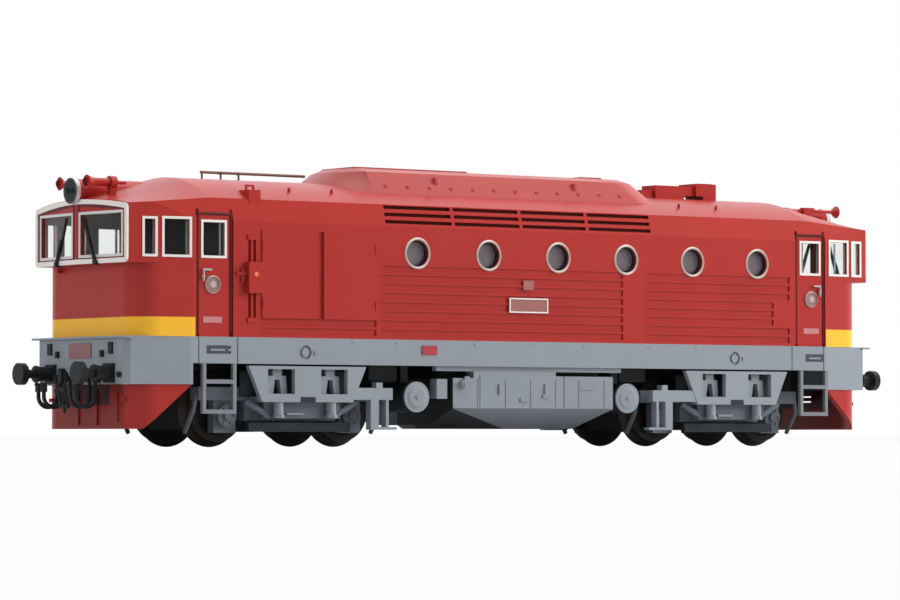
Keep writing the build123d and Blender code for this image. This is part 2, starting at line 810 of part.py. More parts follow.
with BuildPart() as underframe:
    with BuildSketch(level(end_sill_bottom)):
        Polygon(*frame_outline(0), align=None)
    extrude(amount=sill_top - end_sill_bottom)
    with BuildSketch(level(end_sill_bottom)):
        Polygon(*frame_outline(skirt_wall), align=None)
    extrude(amount=deck_bottom - end_sill_bottom, mode=Mode.SUBTRACT)
    with BuildSketch(level(end_sill_bottom)):
        for side in LEFT_AND_RIGHT:
            with Locations((-side * hand_shift, side * body_half)):
                Rectangle(2 * end_skirt_start, 2 * body_half)
    extrude(amount=sill_bottom - end_sill_bottom, mode=Mode.SUBTRACT)
    for side in LEFT_AND_RIGHT:
        # set back under each skirt, a rail that the tank hangs from
        with BuildSketch(level(sill_bottom)):
            with Locations((-side * (rail_behind - rail_ahead) / 2, side * (rail_out - rail_thick / 2))):
                Rectangle(rail_ahead + rail_behind, rail_thick)
        extrude(amount=-rail_drop)
        for end in BOTH_ENDS:
            way = end * side
            with BuildSketch(side_plane(side, body_half)):
                with Locations((hand_shift - way * pivot_ahead, jack_height)):
                    Circle(jack_radius)
                with Locations(*[(ladder_shift - way * ladder_ahead, height) for height in vent_rows]):
                    Rectangle(vent_width, vent_tall)
            extrude(amount=-jack_depth, mode=Mode.SUBTRACT)
            with BuildSketch(side_plane(side, body_half)):
                with Locations(*[(hand_shift - way * ahead, sill_top) for ahead in joint_places]):
                    Rectangle(joint_width, 2 * sill_depth)
            extrude(amount=-joint_depth, mode=Mode.SUBTRACT)
    # thin lip over each buffer beam
    for end in BOTH_ENDS:
        with BuildSketch(level(sill_top - lip_thick)):
            with Locations((end * (beam_front + lip_ahead - 1), 0)):
                Rectangle(2, 2 * lip_half)
        extrude(amount=lip_thick)
write(underframe, "underframe")

# Bogie pins: a stepped pin under the deck for each bogie to swivel on
with BuildPart() as bogie_pins:
    for end in BOTH_ENDS:
        with BuildSketch(bogie_plane(end, wheel_radius + pin_over_axle)):
            Circle(pin_radius)
        extrude(amount=deck_bottom - wheel_radius - pin_over_axle)
        with BuildSketch(bogie_plane(end, sill_bottom)):
            Circle(pin_boss_radius)
        extrude(amount=deck_bottom - sill_bottom)
write(bogie_pins, "bogie_pins")

# Marker lamps and blank plates on the buffer beams and sides
lamp_out = 10.5
lamp_height = sill_top - 2.1
lamp_width = 1.3
lamp_tall = 2.1
lamp_proud = 0.35
beam_plate_width = 7.6
beam_plate_tall = 2.7
beam_plate_height = sill_top - 2.5
plate_proud = 0.2
sill_plate_ahead = 22.6
sill_plate_width = 3.4
sill_plate_tall = 1.7
sill_plate_height = sill_top - 1.9
number_plate_behind = 0.55
number_plate_width = 9.1
number_plate_tall = 2.7
number_plate_height = 25.75
badge_plate_width = 2.4
badge_plate_tall = 1.8
badge_plate_height = 29.6
disc_radius = 1.65
disc_height = 28.3

with BuildPart() as marker_lamps:
    for end in BOTH_ENDS:
        with BuildSketch(end_plane(end, beam_front)):
            with Locations((lamp_out, lamp_height), (-lamp_out, lamp_height)):
                Rectangle(lamp_width, lamp_tall)
        extrude(amount=lamp_proud)
write(marker_lamps, "marker_lamps")

with BuildPart() as frame_plates:
    for end in BOTH_ENDS:
        with BuildSketch(end_plane(end, beam_front)):
            with Locations((0, beam_plate_height)):
                Rectangle(beam_plate_width, beam_plate_tall)
        extrude(amount=plate_proud)
    for side in LEFT_AND_RIGHT:
        with BuildSketch(side_plane(side, body_half)):
            with Locations((-sill_plate_ahead, sill_plate_height)):
                Rectangle(sill_plate_width, sill_plate_tall)
        extrude(amount=plate_proud)
write(frame_plates, "frame_plates")

with BuildPart() as number_plates:
    for side in LEFT_AND_RIGHT:
        with BuildSketch(side_plane(side, body_half)):
            with Locations((number_plate_behind, number_plate_height)):
                Rectangle(number_plate_width, number_plate_tall)
            with Locations((number_plate_behind, badge_plate_height)):
                Rectangle(badge_plate_width, badge_plate_tall)
        extrude(amount=plate_proud)
write(number_plates, "number_plates")

with BuildPart() as door_discs:
    for side in LEFT_AND_RIGHT:
        for end in BOTH_ENDS:
            with BuildSketch(side_plane(side, body_half - door_depth)):
                with Locations((hand_shift - end * side * door_ahead, disc_height)):
                    Circle(disc_radius)
            extrude(amount=plate_proud)
write(door_discs, "door_discs")

# Fuel tank between the bogies: folded-in lower half, deeper sump, and a back end cut away below
tank_ahead = 16.9
tank_behind = 21.4
tank_step_behind = 7.5
tank_step_ahead = 12.0
tank_top = sill_bottom - rail_drop
tank_step = 0.8
tank_front_step = 1.3
tank_fold = 6.2
tank_bottom = 3.1
tank_half = body_half - 0.4
sump_ahead = 10.4
sump_behind = 18.2
sump_bottom = 2.4
sump_half = 8.3
# fittings on each side's face: columns: behind the middle, height, width, tall, proud
tank_fittings = [
    (-5.95, 9.9, 0.4, 2.0, 0.3),
    (4.95, 9.9, 0.4, 2.0, 0.3),
    (15.0, 10.6, 3.4, 1.5, 0.15),
    (-13.7, 11.4, 1.2, 1.6, 0.35),
    (-0.2, 7.9, 1.8, 0.7, 0.25),
]
tank_band_places = (-10.3, 9.8)
tank_band_width = 0.5
tank_band_proud = 0.12
drain_box_ahead = (18.2, 20.6)
drain_box_bottom = 8.0
drain_box_top = 11.7
drain_box_deep = 2.2
bracket_thick = 0.8

with BuildPart() as fuel_tank:
    with BuildSketch(end_plane(1, 0)):
        Polygon(
            (tank_half, tank_top),
            (tank_half, tank_fold),
            (sump_half, sump_bottom),
            (-sump_half, sump_bottom),
            (-tank_half, tank_fold),
            (-tank_half, tank_top),
            align=None,
        )
    extrude(amount=tank_ahead + tank_behind, both=True)
    with BuildSketch(side_plane(1, 0)):
        Polygon(
            (-tank_ahead, tank_top - tank_front_step),
            (-tank_ahead, tank_bottom),
            (-sump_ahead, tank_bottom),
            (-sump_ahead, sump_bottom),
            (sump_behind, sump_bottom),
            (tank_behind, tank_fold),
            (tank_behind, tank_top - tank_step),
            (tank_step_behind, tank_top - tank_step),
            (tank_step_behind, tank_top),
            (-tank_step_ahead, tank_top),
            (-tank_step_ahead, tank_top - tank_front_step),
            align=None,
        )
    extrude(amount=body_half, both=True, mode=Mode.INTERSECT)
    for side in LEFT_AND_RIGHT:
        for back, height, width, tall, proud in tank_fittings:
            with BuildSketch(side_plane(side, tank_half)):
                with Locations((side * back, height)):
                    Rectangle(width, tall)
            extrude(amount=proud)
        for back in tank_band_places:
            with BuildSketch(side_plane(side, tank_half)):
                with Locations((side * back, (tank_top - tank_step + tank_fold) / 2)):
                    Rectangle(tank_band_width, tank_top - tank_step - tank_fold)
            extrude(amount=tank_band_proud)
        # drain box on a bracket ahead of the tank
        with BuildSketch(side_plane(side, tank_half)):
            middle = -side * sum(drain_box_ahead) / 2
            with Locations((middle, (drain_box_bottom + drain_box_top) / 2)):
                Rectangle(drain_box_ahead[1] - drain_box_ahead[0], drain_box_top - drain_box_bottom)
        extrude(amount=-drain_box_deep)
        with BuildSketch(level(drain_box_bottom)):
            with Locations((drain_box_ahead[0], side * (tank_half - drain_box_deep + bracket_thick / 2))):
                Rectangle(2 * (drain_box_ahead[0] - tank_ahead), bracket_thick)
        extrude(amount=drain_box_top - drain_box_bottom)
write(fuel_tank, "fuel_tank")

# Air reservoirs: two drums across the frame, beside the tank
drum_radius = 2.85
drum_ahead = 25.1
drum_height = 8.3
drum_half = body_half - 0.5
hanger_half = 0.8
hanger_out = 12.0

with BuildPart() as air_tanks:
    for end in BOTH_ENDS:
        with BuildSketch(upright(end * drum_ahead, 0, 0, 1)):
            with Locations((0, drum_height)):
                Circle(drum_radius)
        extrude(amount=drum_half, both=True)
        with BuildSketch(level(drum_height)):
            with Locations(*[(end * drum_ahead, side * hanger_out) for side in LEFT_AND_RIGHT]):
                Rectangle(2 * hanger_half, 2 * hanger_half)
        extrude(amount=deck_bottom - drum_height)
write(air_tanks, "air_tanks")

# Crew ladders under the doors: two uprights and two rungs
ladder_width = 7.2
ladder_bottom = 5.1
rung_heights = (5.35, 10.75)
rung_thick = 0.6
stile_thick = 0.7
ladder_out = body_half - 0.05
ladder_deep = 0.8

with BuildPart() as ladders:
    for side in LEFT_AND_RIGHT:
        for end in BOTH_ENDS:
            centre = ladder_shift - end * side * ladder_ahead
            with BuildSketch(side_plane(side, ladder_out)):
                for way in (1, -1):
                    stile = centre + way * (ladder_width - stile_thick) / 2
                    with Locations((stile, (ladder_bottom + sill_bottom) / 2)):
                        Rectangle(stile_thick, sill_bottom - ladder_bottom)
                with Locations(*[(centre, height) for height in rung_heights]):
                    Rectangle(ladder_width, rung_thick)
            extrude(amount=-ladder_deep)
write(ladders, "ladders")

# Snow ploughs: bent plates under the buffer beams, cut away below at the sides
plough_ahead = beam_front - 1.6
plough_half = body_half - 1.8
plough_corner = 5.0
plough_wall = 1.2
plough_foot_ahead = plough_ahead - 1.5
pocket_height = end_sill_bottom - 1.8
pocket_thick = 0.7
pocket_half = 1.6
hatch_out = 7.8
hatch_width = 5.2
hatch_height = (plough_bottom + end_sill_bottom) / 2
hatch_tall = 5.4
hatch_proud = 0.2

with BuildPart() as snow_ploughs:
    for end in BOTH_ENDS:
        with BuildSketch(level(plough_bottom)):
            for inset, mode in ((0, Mode.ADD), (plough_wall, Mode.SUBTRACT)):
                back = end * (end_skirt_start - hand_shift - inset)
                front = end * (plough_ahead - inset)
                half = plough_half - inset
                foot = body_half - seat_gap - inset
                with BuildSketch(level(plough_bottom), mode=Mode.PRIVATE) as plate:
                    Polygon((back, -foot), (front, -half), (front, half), (back, foot), align=None)
                    fillet(vertices().group_by(Axis.X)[-1 if end > 0 else 0], plough_corner - inset)
                add(plate.sketch_local, mode=mode)
        extrude(amount=end_sill_bottom - plough_bottom)
        for side in LEFT_AND_RIGHT:
            way = end * side
            with BuildSketch(side_plane(side, 0)):
                Polygon(
                    (hand_shift - way * (end_skirt_start - 3), plough_bottom - 1),
                    (hand_shift - way * (end_skirt_start - 3), end_sill_bottom),
                    (hand_shift - way * end_skirt_start, end_sill_bottom),
                    (hand_shift - way * plough_foot_ahead, plough_bottom),
                    (hand_shift - way * plough_foot_ahead, plough_bottom - 1),
                    align=None,
                )
            extrude(amount=body_half + 1, mode=Mode.SUBTRACT)
        with BuildSketch(end_plane(end, plough_ahead)):
            with Locations((hatch_out, hatch_height)):
                Rectangle(hatch_width, hatch_tall)
        extrude(amount=hatch_proud)
    # slot for the coupler socket at the second end
    with BuildSketch(end_plane(-1, plough_ahead)):
        with Locations((0, pocket_height)):
            Rectangle(2 * (pocket_half + seat_gap), pocket_thick + 2 * seat_gap)
    extrude(amount=-2 * plough_wall, mode=Mode.SUBTRACT)
write(snow_ploughs, "snow_ploughs")

# Buffers: sleeve, plunger and round head in one turning
buffer_out = body_half - 7.34
buffer_height = end_sill_bottom + 2.0
head_radius = 2.0
head_thick = 1.3
plunger_radius = 0.8
sleeve_radius = 1.35
sleeve_length = 3.2

with BuildPart() as buffers:
    for end in BOTH_ENDS:
        for side in LEFT_AND_RIGHT:
            with BuildSketch(Plane(origin=(0, side * buffer_out, rail + buffer_height))):
                with BuildLine():
                    Polyline(
                        (end * beam_front, 0),
                        (end * beam_front, sleeve_radius),
                        (end * (beam_front + sleeve_length), sleeve_radius),
                        (end * (beam_front + sleeve_length), plunger_radius),
                        (end * (buffer_face - head_thick), plunger_radius),
                        (end * (buffer_face - head_thick), head_radius),
                        (end * buffer_face, head_radius),
                        (end * buffer_face, 0),
                        close=True,
                    )
                make_face()
            revolve(axis=Axis((0, side * buffer_out, rail + buffer_height), (1, 0, 0)))
write(buffers, "buffers")

# Draw hook on the first buffer beam, and the socket for a model coupler at the second end
hook_height = end_sill_bottom + 1.3
hook_reach = 4.5

with BuildPart() as draw_hook:
    with BuildSketch(side_plane(1, 0)):
        Polygon(
            (-beam_front, hook_height - 1.3),
            (-beam_front - hook_reach, hook_height - 1.0),
            (-beam_front - hook_reach, hook_height + 1.3),
            (-beam_front - hook_reach + 1.2, hook_height + 1.3),
            (-beam_front - hook_reach + 1.2, hook_height + 0.2),
            (-beam_front - 1.2, hook_height + 0.2),
            (-beam_front - 1.2, hook_height + 1.4),
            (-beam_front, hook_height + 1.4),
            align=None,
        )
    extrude(amount=0.6, both=True)
write(draw_hook, "draw_hook")

# Brake hoses: stiff moulded loops that hang from cocks on the first buffer beam, two each side
hose_radius = 0.42
hose_outs = (4.6, 6.5)
hose_top = end_sill_bottom + 1.1
hose_drop = 6.3
hose_near = 0.9
hose_far = 4.9
hose_tip = 9.6
hose_bends = (1.9, 1.9)
cock_width = 1.2
cock_tall = 1.4
cock_reach = 1.6

with BuildPart() as brake_hoses:
    for side in LEFT_AND_RIGHT:
        for out in hose_outs:
            with BuildLine(Plane(origin=(beam_front, side * out, rail), x_dir=(1, 0, 0), z_dir=(0, -1, 0))):
                route = FilletPolyline(
                    (hose_near, hose_top - cock_tall / 2),
                    (hose_near, hose_drop),
                    (hose_far, hose_drop),
                    (hose_far, hose_tip),
                    radius=hose_bends,
                )
            with BuildSketch(Plane(origin=route @ 0, z_dir=route % 0)):
                RegularPolygon(hose_radius, 6)
            sweep(path=route)
    with BuildSketch(end_plane(1, beam_front)):
        with Locations(*[(side * out, hose_top) for side in LEFT_AND_RIGHT for out in hose_outs]):
            Rectangle(cock_width, cock_tall)
    extrude(amount=cock_reach)
write(brake_hoses, "brake_hoses")

pocket_reach = beam_front + 5.1
pocket_root = plough_ahead - 6.3

with BuildPart() as coupler_pocket:
    with BuildSketch(level(pocket_height - pocket_thick / 2)):
        with Locations((-(pocket_reach + pocket_root) / 2, 0)):
            Rectangle(pocket_reach - pocket_root, 2 * pocket_half)
    extrude(amount=pocket_thick)
    with BuildSketch(level(pocket_height)):
        with Locations((-pocket_root - 1.5, 0)):
            Rectangle(3, 3)
    extrude(amount=deck_bottom - pocket_height)
write(coupler_pocket, "coupler_pocket")

# Bogies: heights follow the axles, which are one wheel radius above the rail
tread_start = wheel_back + flange_width
wheel_face = tread_start + tread_width
axle_half = wheel_face + 0.2
frame_inner = wheel_face + frame_gap
frame_outer = frame_inner + frame_thick
gearbox_half_length = half_wheelbase + 4.8
gearbox_half_width = wheel_back - 0.8
gearbox_bottom = wheel_radius - 3.55
gearbox_top = wheel_radius + 3.05
tower_half_length = half_wheelbase + 3.2
tower_neck_start = 5.2
tower_neck_end = 12.0
tower_clear = 0.4
tower_top = deck_bottom - 2.0
transom_half = 4.6
transom_top = wheel_radius + 6.85
tower_bottom = transom_top + tower_clear
side_rail_top = wheel_radius + 4.15
side_rail_bottom = wheel_radius + 1.75
side_rail_half = half_wheelbase + 6.2
equaliser_half = 10.0
equaliser_bottom = wheel_radius - 1.95
axlebox_width = 4.8
axlebox_bottom = wheel_radius - 4.15
axlebox_out = frame_outer - 0.9
cover_radius = 2.0
cover_drop = 1.0

# Cradle plate, seen from the side: a trapezoid with two windows, hung under the sill
cradle_outer = body_half + cradle_proud
cradle_top = sill_bottom - 0.35
cradle_bottom = wheel_radius + 1.45
cradle_top_half = 13.0
cradle_bottom_half = 10.0
cradle_window_top = cradle_top - 0.55
cradle_window_bottom = cradle_bottom + 1.5
cradle_window_width = 5.9
cradle_window_out = 5.85
shelf_top = cradle_bottom + 1.0

# Beam on from each cradle towards the tank, with a knob on it, and a damper and a rod down to a foot
arm_start = 9.3
arm_reach = 20.15
arm_bottom = cradle_bottom + 0.5
arm_top = arm_bottom + 2.2
arm_thick = 1.6
knob_out = 17.15
knob_half = 0.7
knob_tall = 1.0
damper_out = 16.1
damper_half = 0.9
rod_out = 18.95
rod_half = 0.3
foot_bottom = wheel_radius - 3.3
foot_thick = 0.5

# Spring hanger that stands in each window: half width and height of its outline
hanger_foot_half = 2.2
hanger_waist_half = 1.9
hanger_waist = cradle_window_top - 1.2
hanger_cap_half = 1.0
hanger_cap = cradle_window_top
hanger_slot_half = 1.0
hanger_slot_top = hanger_waist - 0.7
hanger_thick = 1.2

# Brake shoes between the wheels, on hangers bolted to the side rail
shoe_gap = 0.35
shoe_thick = 1.0
shoe_half = 2.0
shoe_inner = tread_start + 0.4
shoe_width = 1.3
shoe_hanger_thick = 0.8

for name, end in (("front", 1), ("rear", -1)):
    with BuildPart() as bogie_frame:
        for side in LEFT_AND_RIGHT:
            with BuildSketch(bogie_side(end, side, frame_inner)):
                with Locations((0, (side_rail_top + side_rail_bottom) / 2)):
                    Rectangle(2 * side_rail_half, side_rail_top - side_rail_bottom)
                with Locations((0, (side_rail_top + equaliser_bottom) / 2)):
                    Rectangle(2 * equaliser_half, side_rail_top - equaliser_bottom)
            extrude(amount=frame_outer - frame_inner)
        with BuildSketch(bogie_plane(end, gearbox_top)):
            Rectangle(2 * transom_half, 2 * frame_outer)
        extrude(amount=transom_top - gearbox_top)
        with BuildSketch(bogie_plane(end, gearbox_top)):
            Circle(pin_radius + running_gap)
        extrude(amount=transom_top - gearbox_top, mode=Mode.SUBTRACT)
    write(bogie_frame, f"bogie_frame_{name}")

    with BuildPart() as axleboxes:
        for side in LEFT_AND_RIGHT:
            for way in (1, -1):
                with BuildSketch(bogie_side(end, side, frame_inner)):
                    with Locations((way * half_wheelbase, axlebox_bottom)):
                        Rectangle(
                            axlebox_width,
                            side_rail_bottom - axlebox_bottom,
                            align=(Align.CENTER, Align.MIN),
                        )
                extrude(amount=axlebox_out - frame_inner)
                with BuildSketch(bogie_side(end, side, axlebox_out)):
                    with Locations((way * half_wheelbase, wheel_radius - cover_drop)):
                        Circle(cover_radius)
                extrude(amount=frame_outer - axlebox_out)
    write(axleboxes, f"axleboxes_{name}")

    with BuildPart() as cradle:
        for side in LEFT_AND_RIGHT:
            with BuildSketch(bogie_side(end, side, cradle_outer)):
                with Locations((cradle_back, 0)):
                    Polygon(
                        (-cradle_top_half, cradle_top),
                        (-cradle_bottom_half, cradle_bottom),
                        (cradle_bottom_half, cradle_bottom),
                        (cradle_top_half, cradle_top),
                        align=None,
                    )
                windows = [(cradle_back + way * cradle_window_out, 0) for way in (1, -1)]
                with Locations(*windows):
                    Polygon(
                        (-cradle_window_width / 2, cradle_window_bottom),
                        (cradle_window_width / 2, cradle_window_bottom),
                        (cradle_window_width / 2, cradle_window_top),
                        (-cradle_window_width / 2, cradle_window_top),
                        align=None,
                        mode=Mode.SUBTRACT,
                    )
            extrude(amount=-cradle_plate)
            with BuildSketch(bogie_plane(end, cradle_bottom)):
                middle = (frame_outer + cradle_outer) / 2
                with Locations((-side * cradle_back, side * middle)):
                    Rectangle(2 * cradle_bottom_half, cradle_outer - frame_outer)
            extrude(amount=shelf_top - cradle_bottom)
            way = end * side
            with BuildSketch(bogie_side(end, side, cradle_outer - cradle_proud)):
                Polygon(
                    (cradle_back + way * arm_start, arm_bottom),
                    (cradle_back + way * arm_start, arm_top),
                    (way * (knob_out - knob_half), arm_top),
                    (way * (knob_out - knob_half), arm_top + knob_tall),
                    (way * (knob_out + knob_half), arm_top + knob_tall),
                    (way * (knob_out + knob_half), arm_top),
                    (way * arm_reach, arm_top),
                    (way * arm_reach, arm_bottom),
                    align=None,
                )
                for out, half in ((damper_out, damper_half), (rod_out, rod_half)):
                    with Locations((way * out, (foot_bottom + arm_bottom) / 2)):
                        Rectangle(2 * half, arm_bottom - foot_bottom)
                with Locations((way * (damper_out + arm_reach) / 2, foot_bottom)):
                    Rectangle(arm_reach - damper_out + 2 * damper_half, foot_thick)
            extrude(amount=-arm_thick)
    write(cradle, f"bogie_cradle_{name}")

    with BuildPart() as spring_hangers:
        for side in LEFT_AND_RIGHT:
            with BuildSketch(bogie_side(end, side, cradle_outer - cradle_plate - seat_gap)):
                with Locations(*[(cradle_back + way * cradle_window_out, 0) for way in (1, -1)]):
                    Polygon(
                        (-hanger_foot_half, shelf_top),
                        (-hanger_slot_half, shelf_top),
                        (-hanger_slot_half / 2, hanger_slot_top),
                        (hanger_slot_half / 2, hanger_slot_top),
                        (hanger_slot_half, shelf_top),
                        (hanger_foot_half, shelf_top),
                        (hanger_waist_half, hanger_waist),
                        (hanger_cap_half, hanger_waist),
                        (hanger_cap_half, hanger_cap),
                        (-hanger_cap_half, hanger_cap),
                        (-hanger_cap_half, hanger_waist),
                        (-hanger_waist_half, hanger_waist),
                        align=None,
                    )
            extrude(amount=-hanger_thick)
    write(spring_hangers, f"spring_hangers_{name}")

    with BuildPart() as gearbox:
        with BuildSketch(bogie_plane(end, gearbox_bottom)):
            Rectangle(2 * gearbox_half_length, 2 * gearbox_half_width)
        extrude(amount=gearbox_top - gearbox_bottom)
        for way in (1, -1):
            with BuildSketch(bogie_side(end, 1, 0)):
                with Locations((way * half_wheelbase, wheel_radius)):
                    Circle(axle_radius + running_gap)
            extrude(amount=2 * gearbox_half_width, both=True, mode=Mode.SUBTRACT)
        # two necks past the frame's cross beam, and a housing over it with room for the pin
        with BuildSketch(bogie_plane(end, gearbox_top)):
            for way in (1, -1):
                with Locations((way * (tower_neck_start + tower_neck_end) / 2, 0)):
                    Rectangle(tower_neck_end - tower_neck_start, 2 * gearbox_half_width)
        extrude(amount=tower_bottom - gearbox_top)
        with BuildSketch(bogie_plane(end, tower_bottom)):
            Rectangle(2 * tower_half_length, 2 * gearbox_half_width)
            Circle(pin_boss_radius + seat_gap, mode=Mode.SUBTRACT)
        extrude(amount=tower_top - tower_bottom)
    write(gearbox, f"bogie_gearbox_{name}")

    with BuildPart() as brake_gear:
        for side in LEFT_AND_RIGHT:
            for way in (1, -1):
                # the shoe's face follows the tread in two flats
                reach = wheel_radius + shoe_gap
                back = half_wheelbase - reach - shoe_thick
                bend = half_wheelbase - sqrt(reach**2 - shoe_half**2)
                with BuildSketch(bogie_side(end, side, shoe_inner)):
                    Polygon(
                        (way * back, wheel_radius - shoe_half),
                        (way * back, side_rail_top),
                        (way * (back + shoe_hanger_thick), side_rail_top),
                        (way * (back + shoe_hanger_thick), wheel_radius + shoe_half),
                        (way * bend, wheel_radius + shoe_half),
                        (way * (half_wheelbase - reach), wheel_radius),
                        (way * bend, wheel_radius - shoe_half),
                        align=None,
                    )
                extrude(amount=shoe_width)
                pin_middle = (way * (back + shoe_hanger_thick / 2), side_rail_top - shoe_hanger_thick)
                with BuildSketch(bogie_side(end, side, shoe_inner + shoe_width)):
                    with Locations(pin_middle):
                        Rectangle(shoe_hanger_thick, shoe_hanger_thick)
                extrude(amount=frame_inner - shoe_inner - shoe_width)
    write(brake_gear, f"brake_gear_{name}")

# Wheelsets: two flanged wheels and their axle turn as one, counted from the front
rim_inner = wheel_radius - 1.1
web_recess = 0.7
hub_radius = 1.9
wheel_places = [
    end * pivot_ahead + way * half_wheelbase for end, way in ((1, 1), (1, -1), (-1, 1), (-1, -1))
]

for number, x in enumerate(wheel_places, start=1):
    with BuildPart() as wheels:
        for side in LEFT_AND_RIGHT:
            with BuildSketch(axle_plane(x, side)):
                with BuildLine():
                    Polyline(
                        (wheel_back, axle_radius),
                        (wheel_back, wheel_radius + flange_depth),
                        (tread_start, wheel_radius),
                        (wheel_face, wheel_radius),
                        (wheel_face, rim_inner),
                        (wheel_face - web_recess, hub_radius),
                        (wheel_face, axle_radius),
                        close=True,
                    )
                make_face()
            revolve(axis=Axis((x, 0, rail + wheel_radius), (0, 1, 0)))
    write(wheels, f"wheels_{number}")
    with BuildPart() as axle:
        with BuildSketch(axle_plane(x, 1)):
            with BuildLine():
                Polyline(
                    (-axle_half, 0),
                    (-axle_half, axle_radius),
                    (axle_half, axle_radius),
                    (axle_half, 0),
                    close=True,
                )
            make_face()
        revolve(axis=Axis((x, 0, rail + wheel_radius), (0, 1, 0)))
    write(axle, f"axle_{number}")
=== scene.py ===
"""Looks of the 1:87 model diesel locomotive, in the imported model's frame, in metres."""
from math import cos, pi, radians, sin

import bmesh
import bpy
from mathutils import Matrix, Vector


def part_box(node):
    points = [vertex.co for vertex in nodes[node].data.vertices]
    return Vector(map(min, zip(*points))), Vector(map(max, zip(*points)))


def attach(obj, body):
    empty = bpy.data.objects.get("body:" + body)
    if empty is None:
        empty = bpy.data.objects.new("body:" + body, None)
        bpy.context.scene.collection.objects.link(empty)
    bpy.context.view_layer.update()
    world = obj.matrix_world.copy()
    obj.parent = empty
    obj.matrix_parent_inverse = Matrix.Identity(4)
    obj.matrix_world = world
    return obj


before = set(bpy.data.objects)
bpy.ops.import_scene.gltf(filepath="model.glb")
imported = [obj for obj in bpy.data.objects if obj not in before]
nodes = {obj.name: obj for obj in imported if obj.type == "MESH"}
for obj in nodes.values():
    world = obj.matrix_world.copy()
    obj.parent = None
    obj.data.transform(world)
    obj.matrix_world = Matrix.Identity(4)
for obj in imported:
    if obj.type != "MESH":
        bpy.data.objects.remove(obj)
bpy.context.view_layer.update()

# Studio: the camera stands at the height of the rail top, looks slightly up and takes in the whole
# model from its left front. One soft lamp hangs over the roof, one grazes the long side from the back
# left and a weak one lights the nose.
CAMERA_PLACE = (0.4886, 0.6578, 0.00209)
VIEW_TURN = radians(36.32)
VIEW_TILT = radians(1.83)
LENS = 169.9
SENSOR = 36.0
camera_data = bpy.data.cameras.new("camera")
camera_data.sensor_width = SENSOR
camera_data.lens = LENS
camera_data.clip_start = 0.01
camera_data.clip_end = 20.0
camera = bpy.data.objects.new("camera", camera_data)
camera.location = CAMERA_PLACE
look = Vector((-sin(VIEW_TURN) * cos(VIEW_TILT), -cos(VIEW_TURN) * cos(VIEW_TILT), sin(VIEW_TILT)))
camera.rotation_euler = look.to_track_quat("-Z", "Y").to_euler()
bpy.context.scene.collection.objects.link(camera)
bpy.context.scene.camera = camera
bpy.context.scene.view_settings.view_transform = "Standard"


def softbox(name, place, aim, width, height, watts, mirrored):
    """Rectangular lamp turned to a point on the model. Unless it is mirrored, gloss doesn't show it."""
    lamp = bpy.data.lights.new(name, "AREA")
    lamp.shape = "RECTANGLE"
    lamp.size = width
    lamp.size_y = height
    lamp.energy = watts
    holder = bpy.data.objects.new(name, lamp)
    holder.location = place
    holder.visible_glossy = mirrored
    holder.rotation_euler = (Vector(aim) - Vector(place)).to_track_quat("-Z", "Y").to_euler()
    bpy.context.scene.collection.objects.link(holder)


softbox("lamp_over_roof", (-0.05, 0.10, 0.75), (0, 0, 0.03), 0.9, 0.6, watts=3.4, mirrored=True)
softbox("lamp_along_side", (-0.95, 0.64, 0.42), (0, 0, 0.03), 0.7, 0.5, watts=13.2, mirrored=False)
softbox("lamp_facing_nose", (1.15, -0.10, 0.35), (0.05, 0, 0.03), 0.5, 0.5, watts=3.3, mirrored=False)

# Backdrop: white card stands behind and over the model, so surfaces that face it get more light than
# the rest. What the camera sees of it, past the model or through the panes, is plain white.
CARD_COLOUR = (0.93, 0.96, 1.0, 1)
TO_CARD = (-0.66, -0.60, 0.45)
CARD_EDGE = 0.05
CARD_MIDDLE = 0.9
ROOM_LIGHT = 0.25
CARD_LIGHT = 1.3
world = bpy.data.worlds.new("studio")
bpy.context.scene.world = world
world.use_nodes = True
sky = world.node_tree
sky.nodes.clear()
seen = sky.nodes.new("ShaderNodeLightPath")
direct = sky.nodes.new("ShaderNodeMath")
direct.operation = "MAXIMUM"
ambient = sky.nodes.new("ShaderNodeBackground")
ambient.inputs["Color"].default_value = CARD_COLOUR
heading = sky.nodes.new("ShaderNodeTexCoord")
to_card = sky.nodes.new("ShaderNodeVectorMath")
to_card.operation = "DOT_PRODUCT"
to_card.inputs[1].default_value = TO_CARD
card_light = sky.nodes.new("ShaderNodeMapRange")
card_light.inputs["From Min"].default_value = CARD_EDGE
card_light.inputs["From Max"].default_value = CARD_MIDDLE
card_light.inputs["To Min"].default_value = ROOM_LIGHT
card_light.inputs["To Max"].default_value = CARD_LIGHT
sky.links.new(heading.outputs["Generated"], to_card.inputs[0])
sky.links.new(to_card.outputs["Value"], card_light.inputs["Value"])
sky.links.new(card_light.outputs[0], ambient.inputs["Strength"])
backdrop = sky.nodes.new("ShaderNodeBackground")
backdrop.inputs["Strength"].default_value = 1.0
backdrop.inputs["Color"].default_value = (1, 1, 1, 1)
chosen = sky.nodes.new("ShaderNodeMixShader")
shown = sky.nodes.new("ShaderNodeOutputWorld")
sky.links.new(seen.outputs["Is Camera Ray"], direct.inputs[0])
sky.links.new(seen.outputs["Is Transmission Ray"], direct.inputs[1])
sky.links.new(direct.outputs[0], chosen.inputs[0])
sky.links.new(ambient.outputs[0], chosen.inputs[1])
sky.links.new(backdrop.outputs[0], chosen.inputs[2])
sky.links.new(chosen.outputs[0], shown.inputs[0])

# Ground: a sheet of white paper lies under the model. It is burnt out to white in the picture, so the
# camera sees it nearly so, while it throws back the light of pale paper.
PAPER_HALF = 4.0
PAPER_WHITE = (0.55, 0.55, 0.56, 1)
BURNT_OUT = 0.93


def link_mesh(name, form):
    """Puts a finished bmesh into the scene as an object at the origin."""
    mesh = bpy.data.meshes.new(name)
    form.to_mesh(mesh)
    form.free()
    piece = bpy.data.objects.new(name, mesh)
    bpy.context.scene.collection.objects.link(piece)
    return piece


